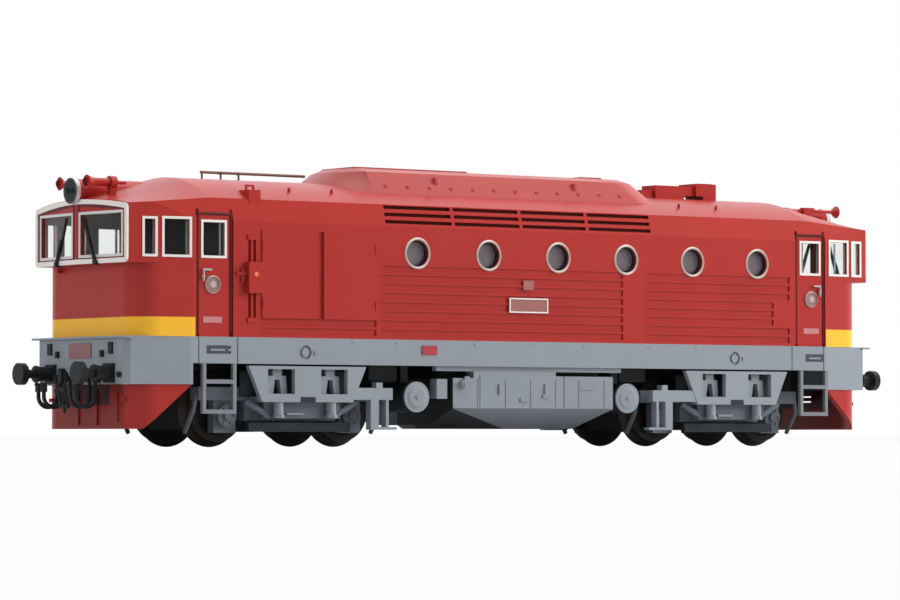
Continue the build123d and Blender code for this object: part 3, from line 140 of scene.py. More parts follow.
floor_form = bmesh.new()
bmesh.ops.create_grid(floor_form, x_segments=1, y_segments=1, size=PAPER_HALF)
floor = link_mesh("studio_floor", floor_form)
floor_paint = bpy.data.materials.new("studio_floor")
floor_paint.use_nodes = True
paper = floor_paint.node_tree
floor_shader = paper.nodes["Principled BSDF"]
floor_shader.inputs["Base Color"].default_value = PAPER_WHITE
floor_shader.inputs["Roughness"].default_value = 0.9
floor_seen = paper.nodes.new("ShaderNodeLightPath")
share = paper.nodes.new("ShaderNodeMath")
share.operation = "MULTIPLY"
share.inputs[1].default_value = BURNT_OUT
white_out = paper.nodes.new("ShaderNodeEmission")
white_out.inputs["Color"].default_value = (1, 1, 1, 1)
floor_mix = paper.nodes.new("ShaderNodeMixShader")
paper.links.new(floor_seen.outputs["Is Camera Ray"], share.inputs[0])
paper.links.new(share.outputs[0], floor_mix.inputs[0])
paper.links.new(floor_shader.outputs[0], floor_mix.inputs[1])
paper.links.new(white_out.outputs[0], floor_mix.inputs[2])
paper.links.new(floor_mix.outputs[0], paper.nodes["Material Output"].inputs["Surface"])
floor.data.materials.append(floor_paint)

# Body shell: one injection moulding in red plastic, sprayed with satin paint, with a yellow band
# printed round each nose over the buffer beam, from door to door. The paint has a faint mottle, a fine
# spray grain and a gloss that wanders a little. Inside the cabs, the shell's walls are painted pale grey
# as painted light, for the light that reaches them through the windows.
MM = 0.001
RAIL = 1.0 * MM
BOTH = (1, -1)
RED = (0.42, 0.027, 0.020)
YELLOW = (0.97, 0.505, 0.030)
CAB_PAINTED_LIGHT_GREY = (0.75, 0.76, 0.75)
BAND_TOP = RAIL + 22.35 * MM
BAND_START = 75.1 * MM
BAND_SHIFT = 0.6 * MM
CAB_TAPER = 0.123
CAB_WALL_AT_MIDDLE = 26.1 * MM
CAB_WALL = 16.6 * MM
CAB_BACK = 68.5 * MM
CAB_FRONT = 86.9 * MM
WINDOW_FOOT = RAIL + 32.9 * MM
WINDOW_TOP = RAIL + 42.3 * MM
MOTTLE_SCALE = 90.0
GRAIN_SCALE = 5000.0
GRAIN_DEPTH = 0.02 * MM
GLOSS_SPREAD = 0.06


def sprayed(name, colour, gloss=0.42, mottle=0.06, grain=0.05, metal=0.0, shine=0.4):
    """Sprayed plastic or metal with a colour in linear light."""
    paint = bpy.data.materials.new(name)
    paint.use_nodes = True
    tree = paint.node_tree
    shader = tree.nodes["Principled BSDF"]
    shader.inputs["Metallic"].default_value = metal
    shader.inputs["Specular IOR Level"].default_value = shine
    place = tree.nodes.new("ShaderNodeTexCoord")
    cloud = tree.nodes.new("ShaderNodeTexNoise")
    cloud.inputs["Scale"].default_value = MOTTLE_SCALE
    cloud.inputs["Detail"].default_value = 4.0
    tree.links.new(place.outputs["Object"], cloud.inputs["Vector"])
    shade = tree.nodes.new("ShaderNodeMix")
    shade.data_type = "RGBA"
    shade.inputs[6].default_value = [c * (1 - mottle) for c in colour] + [1]
    shade.inputs[7].default_value = [min(1, c * (1 + mottle)) for c in colour] + [1]
    tree.links.new(cloud.outputs["Fac"], shade.inputs[0])
    tree.links.new(shade.outputs[2], shader.inputs["Base Color"])
    sheen = tree.nodes.new("ShaderNodeMapRange")
    sheen.inputs["To Min"].default_value = gloss - GLOSS_SPREAD
    sheen.inputs["To Max"].default_value = gloss + GLOSS_SPREAD
    tree.links.new(cloud.outputs["Fac"], sheen.inputs["Value"])
    tree.links.new(sheen.outputs[0], shader.inputs["Roughness"])
    speck = tree.nodes.new("ShaderNodeTexNoise")
    speck.inputs["Scale"].default_value = GRAIN_SCALE
    speck.inputs["Detail"].default_value = 1.0
    tree.links.new(place.outputs["Object"], speck.inputs["Vector"])
    bump = tree.nodes.new("ShaderNodeBump")
    bump.inputs["Strength"].default_value = grain
    bump.inputs["Distance"].default_value = GRAIN_DEPTH
    tree.links.new(speck.outputs["Fac"], bump.inputs["Height"])
    tree.links.new(bump.outputs[0], shader.inputs["Normal"])
    return paint


def finish_nodes(paint, slot, *names):
    """Gives CAD nodes a finish."""
    for name in names:
        nodes[name].data.materials.clear()
        nodes[name].data.materials.append(paint)


def canvas(paint):
    """Node tree of a paint, and the sockets of its Object coordinates x, y and z."""
    tree = paint.node_tree
    place = next(node for node in tree.nodes if node.type == "TEX_COORD")
    axes = tree.nodes.new("ShaderNodeSeparateXYZ")
    tree.links.new(place.outputs["Object"], axes.inputs[0])
    return tree, *axes.outputs


def measure(tree, kind, value, other=0.0):
    """Math node on a socket and a number or a second socket."""
    step = tree.nodes.new("ShaderNodeMath")
    step.operation = kind
    tree.links.new(value, step.inputs[0])
    if isinstance(other, float):
        step.inputs[1].default_value = other
    else:
        tree.links.new(other, step.inputs[1])
    return step.outputs[0]


def within(tree, axis, limit):
    """1 where a coordinate lies nearer to the middle than a limit."""
    return measure(tree, "LESS_THAN", measure(tree, "ABSOLUTE", axis), limit)


def beyond(tree, axis, limit):
    """1 where a coordinate lies farther from the middle than a limit."""
    return measure(tree, "GREATER_THAN", measure(tree, "ABSOLUTE", axis), limit)


def all_of(tree, first, *others):
    """1 where every mask is 1."""
    for other in others:
        first = measure(tree, "MULTIPLY", first, other)
    return first


def overpaint(paint, mask, colour):
    """Second colour over a sprayed paint where the mask is 1."""
    tree = paint.node_tree
    shader = tree.nodes["Principled BSDF"]
    below = shader.inputs["Base Color"].links[0].from_socket
    coat = tree.nodes.new("ShaderNodeMix")
    coat.data_type = "RGBA"
    coat.inputs[7].default_value = (*colour, 1)
    tree.links.new(mask, coat.inputs[0])
    tree.links.new(below, coat.inputs[6])
    tree.links.new(coat.outputs[2], shader.inputs["Base Color"])


red = sprayed("body_red", RED, gloss=0.36)
body_paint = sprayed("body_red_with_band", RED, gloss=0.36)
tree, x, y, z = canvas(body_paint)
# each side's band starts a little further back on the left than on the right
shift = measure(tree, "MULTIPLY", measure(tree, "SIGN", y), BAND_SHIFT)
round_nose = beyond(tree, measure(tree, "ADD", x, shift), BAND_START)
overpaint(body_paint, all_of(tree, round_nose, measure(tree, "LESS_THAN", z, BAND_TOP)), YELLOW)
# the cab's walls draw in towards the nose
taper = measure(tree, "MULTIPLY", measure(tree, "ABSOLUTE", x), CAB_TAPER)
wall_line = measure(tree, "ADD", measure(tree, "ABSOLUTE", y), taper)
# the shell's walls inside the cabs are painted pale grey as painted light
cab_inside_lit = all_of(
    tree,
    measure(tree, "LESS_THAN", wall_line, CAB_WALL_AT_MIDDLE),
    within(tree, y, CAB_WALL),
    within(tree, x, CAB_FRONT),
    beyond(tree, x, CAB_BACK),
    measure(tree, "GREATER_THAN", z, WINDOW_FOOT),
    measure(tree, "LESS_THAN", z, WINDOW_TOP),
)
overpaint(body_paint, cab_inside_lit, CAB_PAINTED_LIGHT_GREY)
finish_nodes(body_paint, "body_red", "body_shell")
finish_nodes(red, "body_red", "exhaust_silencer", "horns")

# Engine room side: the lock box by the first cab carries a small seal, touched in with orange. Two
# hinges stand on the edge of each plain door, moulded with the shell and painted with it.
SEAL_AHEAD = 62.2
SEAL_HEIGHT = 30.3
SEAL_RADIUS = 0.45
SEAL_SUNK = 0.1
SEAL_PROUD = 0.12
LOCK_OUT = 18.6
HINGE_OUT = 17.55
HINGE_REACH = 0.8
HINGE_RADIUS = 0.22
DOOR_HINGES = ((34.9, 25.0), (34.9, 35.5), (60.0, 25.0), (60.0, 35.5))


def spot(x, y, height):
    """Place from millimetres, with the height above the rail."""
    return Vector((x * MM, y * MM, RAIL + height * MM))


def add_rod(form, start, stop, radius, sides=12, end_radius=None):
    """Closed round rod, or cone, between two places, with its radius in millimetres."""
    run = stop - start
    turn = run.to_track_quat("Z", "Y").to_matrix().to_4x4()
    bmesh.ops.create_cone(
        form,
        cap_ends=True,
        segments=sides,
        radius1=radius * MM,
        radius2=(radius if end_radius is None else end_radius) * MM,
        depth=run.length,
        matrix=Matrix.Translation((start + stop) / 2) @ turn,
    )


def add_stud(form, ahead, height, out, end_out, radius, sides=12, end_radius=None):
    """Rod that points sideways, from one distance off the model's middle to another."""
    add_rod(form, spot(ahead, out, height), spot(ahead, end_out, height), radius, sides, end_radius)


def turn_round(form):
    """Adds the same work turned half round the model, for its other side."""
    twin = bmesh.ops.duplicate(form, geom=form.verts[:] + form.edges[:] + form.faces[:])
    verts = [part for part in twin["geom"] if isinstance(part, bmesh.types.BMVert)]
    bmesh.ops.rotate(form, verts=verts, cent=(0, 0, 0), matrix=Matrix.Rotation(pi, 3, "Z"))


def add_piece(name, form, paint, body="locomotive"):
    """Turns finished work into an object that rides on a body of the model."""
    bmesh.ops.recalc_face_normals(form, faces=form.faces)
    piece = link_mesh(name, form)
    piece.data.materials.append(paint)
    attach(piece, body)


form = bmesh.new()
add_stud(form, SEAL_AHEAD, SEAL_HEIGHT, LOCK_OUT - SEAL_SUNK, LOCK_OUT + SEAL_PROUD, SEAL_RADIUS)
turn_round(form)
add_piece("lock_seals", form, sprayed("seal_orange", (0.85, 0.22, 0.10), gloss=0.4))

form = bmesh.new()
for ahead, height in DOOR_HINGES:
    foot = spot(ahead, HINGE_OUT, height - HINGE_REACH)
    add_rod(form, foot, spot(ahead, HINGE_OUT, height + HINGE_REACH), HINGE_RADIUS)
turn_round(form)
add_piece("engine_door_hinges", form, red)

# Cab doors: each stands in a recess between two deep grooves. Dark rods with clips lie in each groove
# and over the door as painted shade in the grooves and under the recess's top edge. The door has a bent
# lever in bright metal and a blank strip for its notice.
DOOR_MIDDLES = (70.67, -71.87)
GROOVE_REACH = ((-3.95, 3.25), (-3.25, 3.95))
GROOVE_OUT = 17.0
GROOVE_FOOT = 19.4
GROOVE_TOP = 41.2
GROOVE_FLOOR = 16.75
CLIP_HEIGHTS = (20.4, 30.6, 40.6)
LINTEL_OUT = 17.05
LINTEL_HEIGHT = 41.05
LEVER_AHEAD = 2.15
LEVER_OUT = 17.5
LEVER_FOOT = 28.9
LEVER_PIVOT = 29.7
LEVER_TOP = 30.95
HANDLE_LENGTH = 1.75
NOTICE_HALF = 2.0
NOTICE_OUT = (17.05, 17.18)
NOTICE_HEIGHT = (21.4, 22.5)


def add_box(form, low, high):
    """Box between two corners."""
    middle = (low + high) / 2
    size = high - low
    bmesh.ops.create_cube(form, size=1.0, matrix=Matrix.Translation(middle) @ Matrix.Diagonal((*size, 1)))


def add_block(form, along, out, height):
    """Box from three pairs of millimetres: along the model, out from its middle, and over the rail."""
    add_box(form, spot(along[0], out[0], height[0]), spot(along[1], out[1], height[1]))


def around(middle, reach):
    """Pair of places as far to either side of a middle."""
    return middle - reach, middle + reach


def add_tube(form, places, radius, sides=8):
    """Closed round tube through a list of places, with its radius in millimetres."""
    for start, stop in zip(places, places[1:]):
        add_rod(form, start, stop, radius, sides)
    for corner in places[1:-1]:
        ball = Matrix.Translation(corner)
        bmesh.ops.create_icosphere(form, subdivisions=1, radius=radius * MM, matrix=ball)


groove_shade_rods = bmesh.new()
levers = bmesh.new()
notices = bmesh.new()
for middle, grooves, nose in zip(DOOR_MIDDLES, GROOVE_REACH, BOTH):
    back, ahead = (middle + reach for reach in grooves)
    add_rod(groove_shade_rods, spot(back, LINTEL_OUT, LINTEL_HEIGHT), spot(ahead, LINTEL_OUT, LINTEL_HEIGHT), 0.3)
    for groove in (back, ahead):
        foot = spot(groove, GROOVE_OUT, GROOVE_FOOT)
        add_rod(groove_shade_rods, foot, spot(groove, GROOVE_OUT, GROOVE_TOP), 0.29)
        for height in CLIP_HEIGHTS:
            add_stud(groove_shade_rods, groove, height, GROOVE_FLOOR, GROOVE_OUT, 0.26)
    pivot = middle + nose * LEVER_AHEAD
    add_stud(levers, pivot, LEVER_PIVOT, GROOVE_OUT, LEVER_OUT + 0.05, 0.34)
    elbow = spot(pivot, LEVER_OUT, LEVER_TOP)
    tip = spot(pivot - nose * HANDLE_LENGTH, LEVER_OUT, LEVER_TOP)
    add_tube(levers, [spot(pivot, LEVER_OUT, LEVER_FOOT), elbow, tip], 0.2)
    add_block(notices, around(middle, NOTICE_HALF), NOTICE_OUT, NOTICE_HEIGHT)
for form in (groove_shade_rods, levers, notices):
    turn_round(form)
# the dark rods in the grooves and over the doors are painted shade
groove_shade_dark = sprayed("groove_shade_dark", (0.10, 0.009, 0.007), gloss=0.6)
bright_metal = sprayed("bright_metal", (0.72, 0.70, 0.68), gloss=0.28, metal=0.9)
notice_pink = sprayed("notice_pink", (0.55, 0.22, 0.22), gloss=0.5)
add_piece("door_groove_rails", groove_shade_rods, groove_shade_dark)
add_piece("door_levers", levers, bright_metal)
add_piece("door_notice_strips", notices, notice_pink)

# Trims: the frames round the windows are moulded in the panes' edges and printed cream, the surrounds of
# the windscreens are sprayed silver, and the plates and discs are blank. A raised border runs round each
# number plate, and a ring with a boss stands on each disc.
PLATE_ENDS = (-5.15, 4.05)
PLATE_HEIGHTS = (24.35, 27.15)
PLATE_OUT = (17.55, 17.7)
BORDER = 0.25
DISC_HEIGHT = 28.3
DISC_FACE = 17.38
BOSS_FOOT = 17.25
BOSS_RADIUS = 0.62
RING_RADIUS = (1.62, 1.42)
RING_DEPTH = 0.16
cream = sprayed("cream_trim", (0.86, 0.79, 0.74), gloss=0.4, mottle=0.05)
rim_cream = sprayed("rim_cream", (0.78, 0.72, 0.64), gloss=0.35, mottle=0.10)
silver = sprayed("silver_trim", (0.70, 0.68, 0.67), gloss=0.36, mottle=0.05, metal=0.1)
plate_cream = sprayed("plate_cream", (0.35, 0.145, 0.125), gloss=0.45, mottle=0.12)
disc_grey = sprayed("disc_grey", (0.34, 0.19, 0.175), gloss=0.4, mottle=0.2)
disc_pale = sprayed("disc_pale", (0.50, 0.40, 0.37), gloss=0.4, mottle=0.15)
finish_nodes(cream, "cream_trim", "side_window_trims", "windscreen_frames")
finish_nodes(rim_cream, "cream_trim", "porthole_rims")
finish_nodes(silver, "silver_trim", "windscreen_surrounds")
finish_nodes(plate_cream, "cream_trim", "number_plates")
finish_nodes(disc_grey, "cream_trim", "door_discs")

form = bmesh.new()
plate_foot, plate_top = PLATE_HEIGHTS
plate_back, plate_ahead = PLATE_ENDS
upright = (plate_foot + BORDER, plate_top - BORDER)
add_block(form, PLATE_ENDS, PLATE_OUT, (plate_foot, plate_foot + BORDER))
add_block(form, PLATE_ENDS, PLATE_OUT, (plate_top - BORDER, plate_top))
add_block(form, (plate_back, plate_back + BORDER), PLATE_OUT, upright)
add_block(form, (plate_ahead - BORDER, plate_ahead), PLATE_OUT, upright)
turn_round(form)
add_piece("number_plate_borders", form, cream)

form = bmesh.new()
for middle in DOOR_MIDDLES:
    add_stud(form, middle, DISC_HEIGHT, BOSS_FOOT, DISC_FACE, BOSS_RADIUS, sides=20)
    bmesh.ops.create_cone(
        form,
        cap_ends=False,
        segments=28,
        radius1=RING_RADIUS[0] * MM,
        radius2=RING_RADIUS[1] * MM,
        depth=RING_DEPTH * MM,
        matrix=Matrix.Translation(spot(middle, DISC_FACE, DISC_HEIGHT)) @ Matrix.Rotation(-pi / 2, 4, "X"),
    )
turn_round(form)
add_piece("door_disc_rings", form, disc_pale)

# Windows: clear polystyrene mouldings with a grey-green tint, a little dusty on the inside. The sliding
# panes in the cab sides end in a thin grey post.
POSTS = ((68.6, 16.15), (75.6, 15.95), (-70.2, 16.15), (-79.0, 15.95))
POST_HALF = 0.17
POST_THICK = 0.25
POST_HEIGHT = (33.6, 39.6)
DUST_SCALE = 300.0
PLASTIC_BEND = 1.15


def clear_plastic(name, tint, roughness, clearness=1.0):
    """Thin tinted window plastic."""
    pane = bpy.data.materials.new(name)
    pane.use_nodes = True
    tree = pane.node_tree
    shader = tree.nodes["Principled BSDF"]
    shader.inputs["Transmission Weight"].default_value = clearness
    shader.inputs["IOR"].default_value = PLASTIC_BEND
    place = tree.nodes.new("ShaderNodeTexCoord")
    haze = tree.nodes.new("ShaderNodeTexNoise")
    haze.inputs["Scale"].default_value = DUST_SCALE
    tree.links.new(place.outputs["Object"], haze.inputs["Vector"])
    shade = tree.nodes.new("ShaderNodeMix")
    shade.data_type = "RGBA"
    shade.inputs[6].default_value = (*[c * 0.9 for c in tint], 1)
    shade.inputs[7].default_value = (*tint, 1)
    tree.links.new(haze.outputs["Fac"], shade.inputs[0])
    tree.links.new(shade.outputs[2], shader.inputs["Base Color"])
    sheen = tree.nodes.new("ShaderNodeMapRange")
    sheen.inputs["To Min"].default_value = roughness
    sheen.inputs["To Max"].default_value = roughness + 0.05
    tree.links.new(haze.outputs["Fac"], sheen.inputs["Value"])
    tree.links.new(sheen.outputs[0], shader.inputs["Roughness"])
    return pane


cab_pane = clear_plastic("cab_pane", (0.95, 0.97, 0.96), 0.02)
finish_nodes(cab_pane, "clear", "windscreen_glass", "side_window_glass")
porthole_pane = clear_plastic("porthole_pane", (0.42, 0.38, 0.40), 0.08, clearness=0.60)
finish_nodes(porthole_pane, "clear", "porthole_glass")

form = bmesh.new()
for ahead, out in POSTS:
    add_block(form, around(ahead, POST_HALF), (out, out + POST_THICK), POST_HEIGHT)
turn_round(form)
add_piece("sliding_window_posts", form, sprayed("post_grey", (0.30, 0.32, 0.32), gloss=0.4))

# Portholes: a black rubber ring holds each of the six round panes from inside, behind the turned rim.
# The same rings sit in both sides of the shell.
FIRST_PORTHOLE = 25.29
PORTHOLE_PITCH = 16.58
PORTHOLE_COUNT = 6
PORTHOLE_HEIGHT = 35.05
RUBBER_OUT = 16.55
RUBBER_RADIUS = (2.47, 2.15)
RUBBER_THICK = 0.25
form = bmesh.new()
for number in range(PORTHOLE_COUNT):
    ring = []
    for radius in RUBBER_RADIUS:
        ring += bmesh.ops.create_circle(form, segments=32, radius=radius * MM)["verts"]
    edges = list(dict.fromkeys(edge for vert in ring for edge in vert.link_edges))
    bmesh.ops.bridge_loops(form, edges=edges)
    place = Matrix.Translation(spot(FIRST_PORTHOLE - number * PORTHOLE_PITCH, RUBBER_OUT, PORTHOLE_HEIGHT))
    bmesh.ops.transform(form, verts=ring, matrix=place @ Matrix.Rotation(-pi / 2, 4, "X"))
rings = bmesh.ops.extrude_face_region(form, geom=form.faces[:])
lifted = [part for part in rings["geom"] if isinstance(part, bmesh.types.BMVert)]
bmesh.ops.translate(form, verts=lifted, vec=(0, RUBBER_THICK * MM, 0))
turn_round(form)
black = sprayed("black_plastic", (0.014, 0.016, 0.017), gloss=0.5, mottle=0.2)
add_piece("porthole_rubbers", form, black)

# Air intake: four bays of three slots in the leaning band under the roof, cut into the shell. A near-black
# strip lies on the floor of every slot as painted shade in it. The strips repeat, so they are grown on a
# grid.
SLOT_BAYS = 4
SLOT_ROWS = 3
SLOT_PITCH = 15.975
SLOT_STEP = 1.4
SLOT_SIZE = (15.2, 0.66, 0.12)
SLOT_DEPTH = 0.5
BAND_FOOT = (0.95, 17.4, 39.9)
UP_THE_BAND = 2.3
LEAN = radians(13.71)


def open_tree(name, inputs):
    """New Geometry Nodes tree with these named inputs and one for the paint."""
    tree = bpy.data.node_groups.new(name, "GeometryNodeTree")
    tree.interface.new_socket("Geometry", in_out="OUTPUT", socket_type="NodeSocketGeometry")
    for label, kind in inputs.items():
        tree.interface.new_socket(label, in_out="INPUT", socket_type=f"NodeSocket{kind}")
    tree.interface.new_socket("Paint", in_out="INPUT", socket_type="NodeSocketMaterial")
    return tree, tree.nodes.new("NodeGroupInput").outputs


def close_tree(tree, given, shape):
    """Ends a tree: its instances are made real, painted and handed out."""
    real = tree.nodes.new("GeometryNodeRealizeInstances")
    painted = tree.nodes.new("GeometryNodeSetMaterial")
    result = tree.nodes.new("NodeGroupOutput")
    tree.links.new(shape, real.inputs["Geometry"])
    tree.links.new(real.outputs["Geometry"], painted.inputs["Geometry"])
    tree.links.new(given["Paint"], painted.inputs["Material"])
    tree.links.new(painted.outputs["Geometry"], result.inputs[0])
    return tree


def spread_tree(tree, points, shape):
    """Instances of a shape on the points of another."""
    spread = tree.nodes.new("GeometryNodeInstanceOnPoints")
    tree.links.new(points, spread.inputs["Points"])
    tree.links.new(shape, spread.inputs["Instance"])
    return spread.outputs["Instances"]


def grid_tree():
    """Geometry Nodes tree that lays boxes on a grid of named numbers, pitches and size."""
    inputs = {"Columns": "Int", "Rows": "Int", "Width": "Float", "Height": "Float", "Box Size": "Vector"}
    tree, given = open_tree("grid_of_boxes", inputs)
    grid = tree.nodes.new("GeometryNodeMeshGrid")
    cube = tree.nodes.new("GeometryNodeMeshCube")
    tree.links.new(given["Columns"], grid.inputs["Vertices X"])
    tree.links.new(given["Rows"], grid.inputs["Vertices Y"])
    tree.links.new(given["Width"], grid.inputs["Size X"])
    tree.links.new(given["Height"], grid.inputs["Size Y"])
    tree.links.new(given["Box Size"], cube.inputs["Size"])
    return close_tree(tree, given, spread_tree(tree, grid.outputs["Mesh"], cube.outputs["Mesh"]))


def grow(tree, settings):
    """Plain mesh that a Geometry Nodes tree makes with these settings."""
    seed = bpy.data.objects.new("seed", bpy.data.meshes.new("seed"))
    bpy.context.scene.collection.objects.link(seed)
    step = seed.modifiers.new("grow", "NODES")
    step.node_group = tree
    for socket in tree.interface.items_tree:
        if socket.in_out == "INPUT":
            step[socket.identifier] = settings[socket.name]
    grown = bpy.data.meshes.new_from_object(seed.evaluated_get(bpy.context.evaluated_depsgraph_get()))
    bpy.data.objects.remove(seed)
    return grown


def add_grown(form, mesh, matrix):
    """Adds a grown mesh to other work, moved by a matrix."""
    moved = mesh.copy()
    moved.transform(matrix)
    form.from_mesh(moved)
    bpy.data.meshes.remove(moved)


grid_of_boxes = grid_tree()
# near-black strips on the slots' floors: painted shade in the slots
slot_shade_black = sprayed("slot_shade_black", (0.045, 0.008, 0.007), gloss=0.7, mottle=0.3, shine=0.1)
slots = grow(grid_of_boxes, {
    "Columns": SLOT_BAYS,
    "Rows": SLOT_ROWS,
    "Width": (SLOT_BAYS - 1) * SLOT_PITCH * MM,
    "Height": (SLOT_ROWS - 1) * SLOT_STEP * MM,
    "Box Size": [size * MM for size in SLOT_SIZE],
    "Paint": slot_shade_black,
})
form = bmesh.new()
up_the_band = Vector((0, -sin(LEAN), cos(LEAN))) * UP_THE_BAND * MM
sunk = Vector((0, -cos(LEAN), -sin(LEAN))) * SLOT_DEPTH * MM
middle_of_slots = Matrix.Translation(spot(*BAND_FOOT) + up_the_band + sunk)
add_grown(form, slots, middle_of_slots @ Matrix.Rotation(LEAN - pi / 2, 4, "X"))
turn_round(form)
add_piece("air_intake_slot_shades", form, slot_shade_black)

# Roof: the hood is its own moulding, screwed down along both edges, sprayed a pinker red than the body
# as a painted sheen. The silencer's outlets are touched in with black, and four wire lifting eyes are set
# into the roof.
SCREW_COUNT = 12
SCREW_ROWS_LENGTH = 56.0
SCREW_ROWS_APART = 21.6
SCREW_HEAD = 0.5
SCREW_HEIGHT = 47.7
OUTLET_END = ((-59.3, -59.12), (-2.3, 2.3), (49.5, 51.1))
OUTLET_TOP = ((-58.6, -55.0), (-2.2, 2.2), (51.45, 51.6))
LIFTING_EYES = (51.0, 41.5)
EYE_OUT = 12.6
EYE_HEIGHTS = (45.2, 46.6)
EYE_RADIUS = 0.28
# the hood's pinker red is painted sheen
hood_red_with_sheen = sprayed("hood_red_with_sheen", (0.44, 0.070, 0.060), gloss=0.40)
finish_nodes(hood_red_with_sheen, "body_red", "roof_hood")
screws = grow(grid_of_boxes, {
    "Columns": SCREW_COUNT,
    "Rows": 2,
    "Width": SCREW_ROWS_LENGTH * MM,
    "Height": SCREW_ROWS_APART * MM,
    "Box Size": [SCREW_HEAD * MM] * 3,
    "Paint": hood_red_with_sheen,
})
form = bmesh.new()
add_grown(form, screws, Matrix.Translation(spot(0, 0, SCREW_HEIGHT)))
add_piece("hood_screws", form, hood_red_with_sheen)

form = bmesh.new()
add_block(form, *OUTLET_END)
add_block(form, *OUTLET_TOP)
# black plates on the silencer's outlets
outlet_black = sprayed("outlet_black", (0.020, 0.013, 0.012), gloss=0.7, mottle=0.3)
add_piece("exhaust_mouths", form, outlet_black)

form = bmesh.new()
for ahead in LIFTING_EYES:
    for out in BOTH:
        foot, top = (spot(ahead, out * EYE_OUT, height) for height in EYE_HEIGHTS)
        add_rod(form, foot, top, EYE_RADIUS)
turn_round(form)
add_piece("roof_lifting_eyes", form, red)

# Headlights: a turned ring, sprayed silver, holds a lens with two lamps behind it. The ring is painted dark
# in its mouth as painted shade, and the lens is painted nearly black for the shade its glass shows at this
# angle.
LIGHT_HEIGHT = 45.3
LIGHT_MOUTH = 90.15 * MM
MOUTH_SHADE = (0.05, 0.045, 0.045)
BULB_AHEAD = (90.05, 90.2)
BULB_OUT = 0.75
BULB_RADIUS = (0.62, 0.5)
ring_silver = sprayed("ring_silver", (0.62, 0.60, 0.60), gloss=0.36, mottle=0.05, metal=0.1)
tree, x, y, z = canvas(ring_silver)
# dark in the ring's mouth: painted shade
overpaint(ring_silver, beyond(tree, x, LIGHT_MOUTH), MOUTH_SHADE)
finish_nodes(ring_silver, "silver_trim", "headlight_housings")
lens_painted_dark = sprayed("lens_painted_dark", (0.012, 0.018, 0.020), gloss=0.2, mottle=0.2)
finish_nodes(lens_painted_dark, "black", "headlight_lenses")
form = bmesh.new()
for end in BOTH:
    for out in BOTH:
        back, front = (spot(end * ahead, out * BULB_OUT, LIGHT_HEIGHT) for ahead in BULB_AHEAD)
        add_rod(form, back, front, BULB_RADIUS[0], sides=20, end_radius=BULB_RADIUS[1])
add_piece("headlight_bulbs", form, clear_plastic("lamp_glass", (0.18, 0.20, 0.20), 0.05))

# Horns: two at each end, turned as one piece with their stalks and set into the roof. A dark red disc in
# the throat of each bell is painted shade in its hollow.
THROAT_AHEAD = (89.56, 89.62)
THROAT_OUT = 4.65
THROAT_HEIGHT = 46.8
THROAT_RADIUS = 0.85
form = bmesh.new()
for end in BOTH:
    for out in BOTH:
        back, front = (spot(end * ahead, out * THROAT_OUT, THROAT_HEIGHT) for ahead in THROAT_AHEAD)
        add_rod(form, back, front, THROAT_RADIUS, sides=20)
add_piece("horn_bell_shades", form, sprayed("bell_shade_red", (0.16, 0.012, 0.012), gloss=0.6))

# Windscreens: dark red strips along the frame's inner edge are painted shade there, and the wipers are
# black mouldings with a wide blade on a spring arm that turns on a spindle under the pane.
APEX = 88.95
BAND_LEAN = radians(4.653)
PANE_OUT = (0.85, 15.05)
PANE_FOOT = 32.85
PANE_TOP = (42.75, 41.65)
EDGE_SHADE_WIDTH = 0.5
EDGE_SHADE_PROUD = 0.12
SPINDLE = (6.7, 32.2)
ARM_TIP = (4.7, 36.6)
BLADE = ((5.5, 34.3), (3.0, 40.4))
ARM_WIDTH = 0.45
BLADE_WIDTH = 0.6


def screen_spot(end, side, out, height, proud):
    """Place on one half of a windscreen band."""
    ahead = APEX - out * sin(BAND_LEAN) + proud * cos(BAND_LEAN)
    return spot(end * ahead, side * (out * cos(BAND_LEAN) + proud * sin(BAND_LEAN)), height)


def add_screen_bar(form, end, side, start, stop, width, low, high):
    """Flat bar on a windscreen band between two (out, height) places, from one depth to another."""
    run = Vector((stop[0] - start[0], stop[1] - start[1])).normalized() * width / 2
    corners = [
        (start[0] - run.y, start[1] + run.x),
        (start[0] + run.y, start[1] - run.x),
        (stop[0] + run.y, stop[1] - run.x),
        (stop[0] - run.y, stop[1] + run.x),
    ]
    near = [form.verts.new(screen_spot(end, side, *corner, low)) for corner in corners]
    far = [form.verts.new(screen_spot(end, side, *corner, high)) for corner in corners]
    form.faces.new(near)
    form.faces.new(far)
    for number in range(4):
        after = (number + 1) % 4
        form.faces.new((near[number], near[after], far[after], far[number]))


near, far = PANE_OUT
pane_corners = [(near, PANE_FOOT), (far, PANE_FOOT), (far, PANE_TOP[1]), (near, PANE_TOP[0])]
seals = bmesh.new()
blades = bmesh.new()
for end in BOTH:
    for side in BOTH:
        for start, stop in zip(pane_corners, pane_corners[1:] + pane_corners[:1]):
            add_screen_bar(seals, end, side, start, stop, EDGE_SHADE_WIDTH, 0.0, EDGE_SHADE_PROUD)
        add_screen_bar(blades, end, side, SPINDLE, ARM_TIP, ARM_WIDTH, 0.5, 0.85)
        add_screen_bar(blades, end, side, *BLADE, BLADE_WIDTH, 0.2, 0.55)
        spindle_foot = screen_spot(end, side, *SPINDLE, -0.2)
        add_rod(blades, spindle_foot, screen_spot(end, side, *SPINDLE, 0.9), 0.5)
# the dark red strips round the panes are painted shade at the frame's inner edge
add_piece("windscreen_edge_shades", seals, sprayed("screen_edge_shade_red", (0.13, 0.018, 0.020), gloss=0.5))
add_piece("wiper_blades", blades, black)
finish_nodes(black, "black", "wipers")

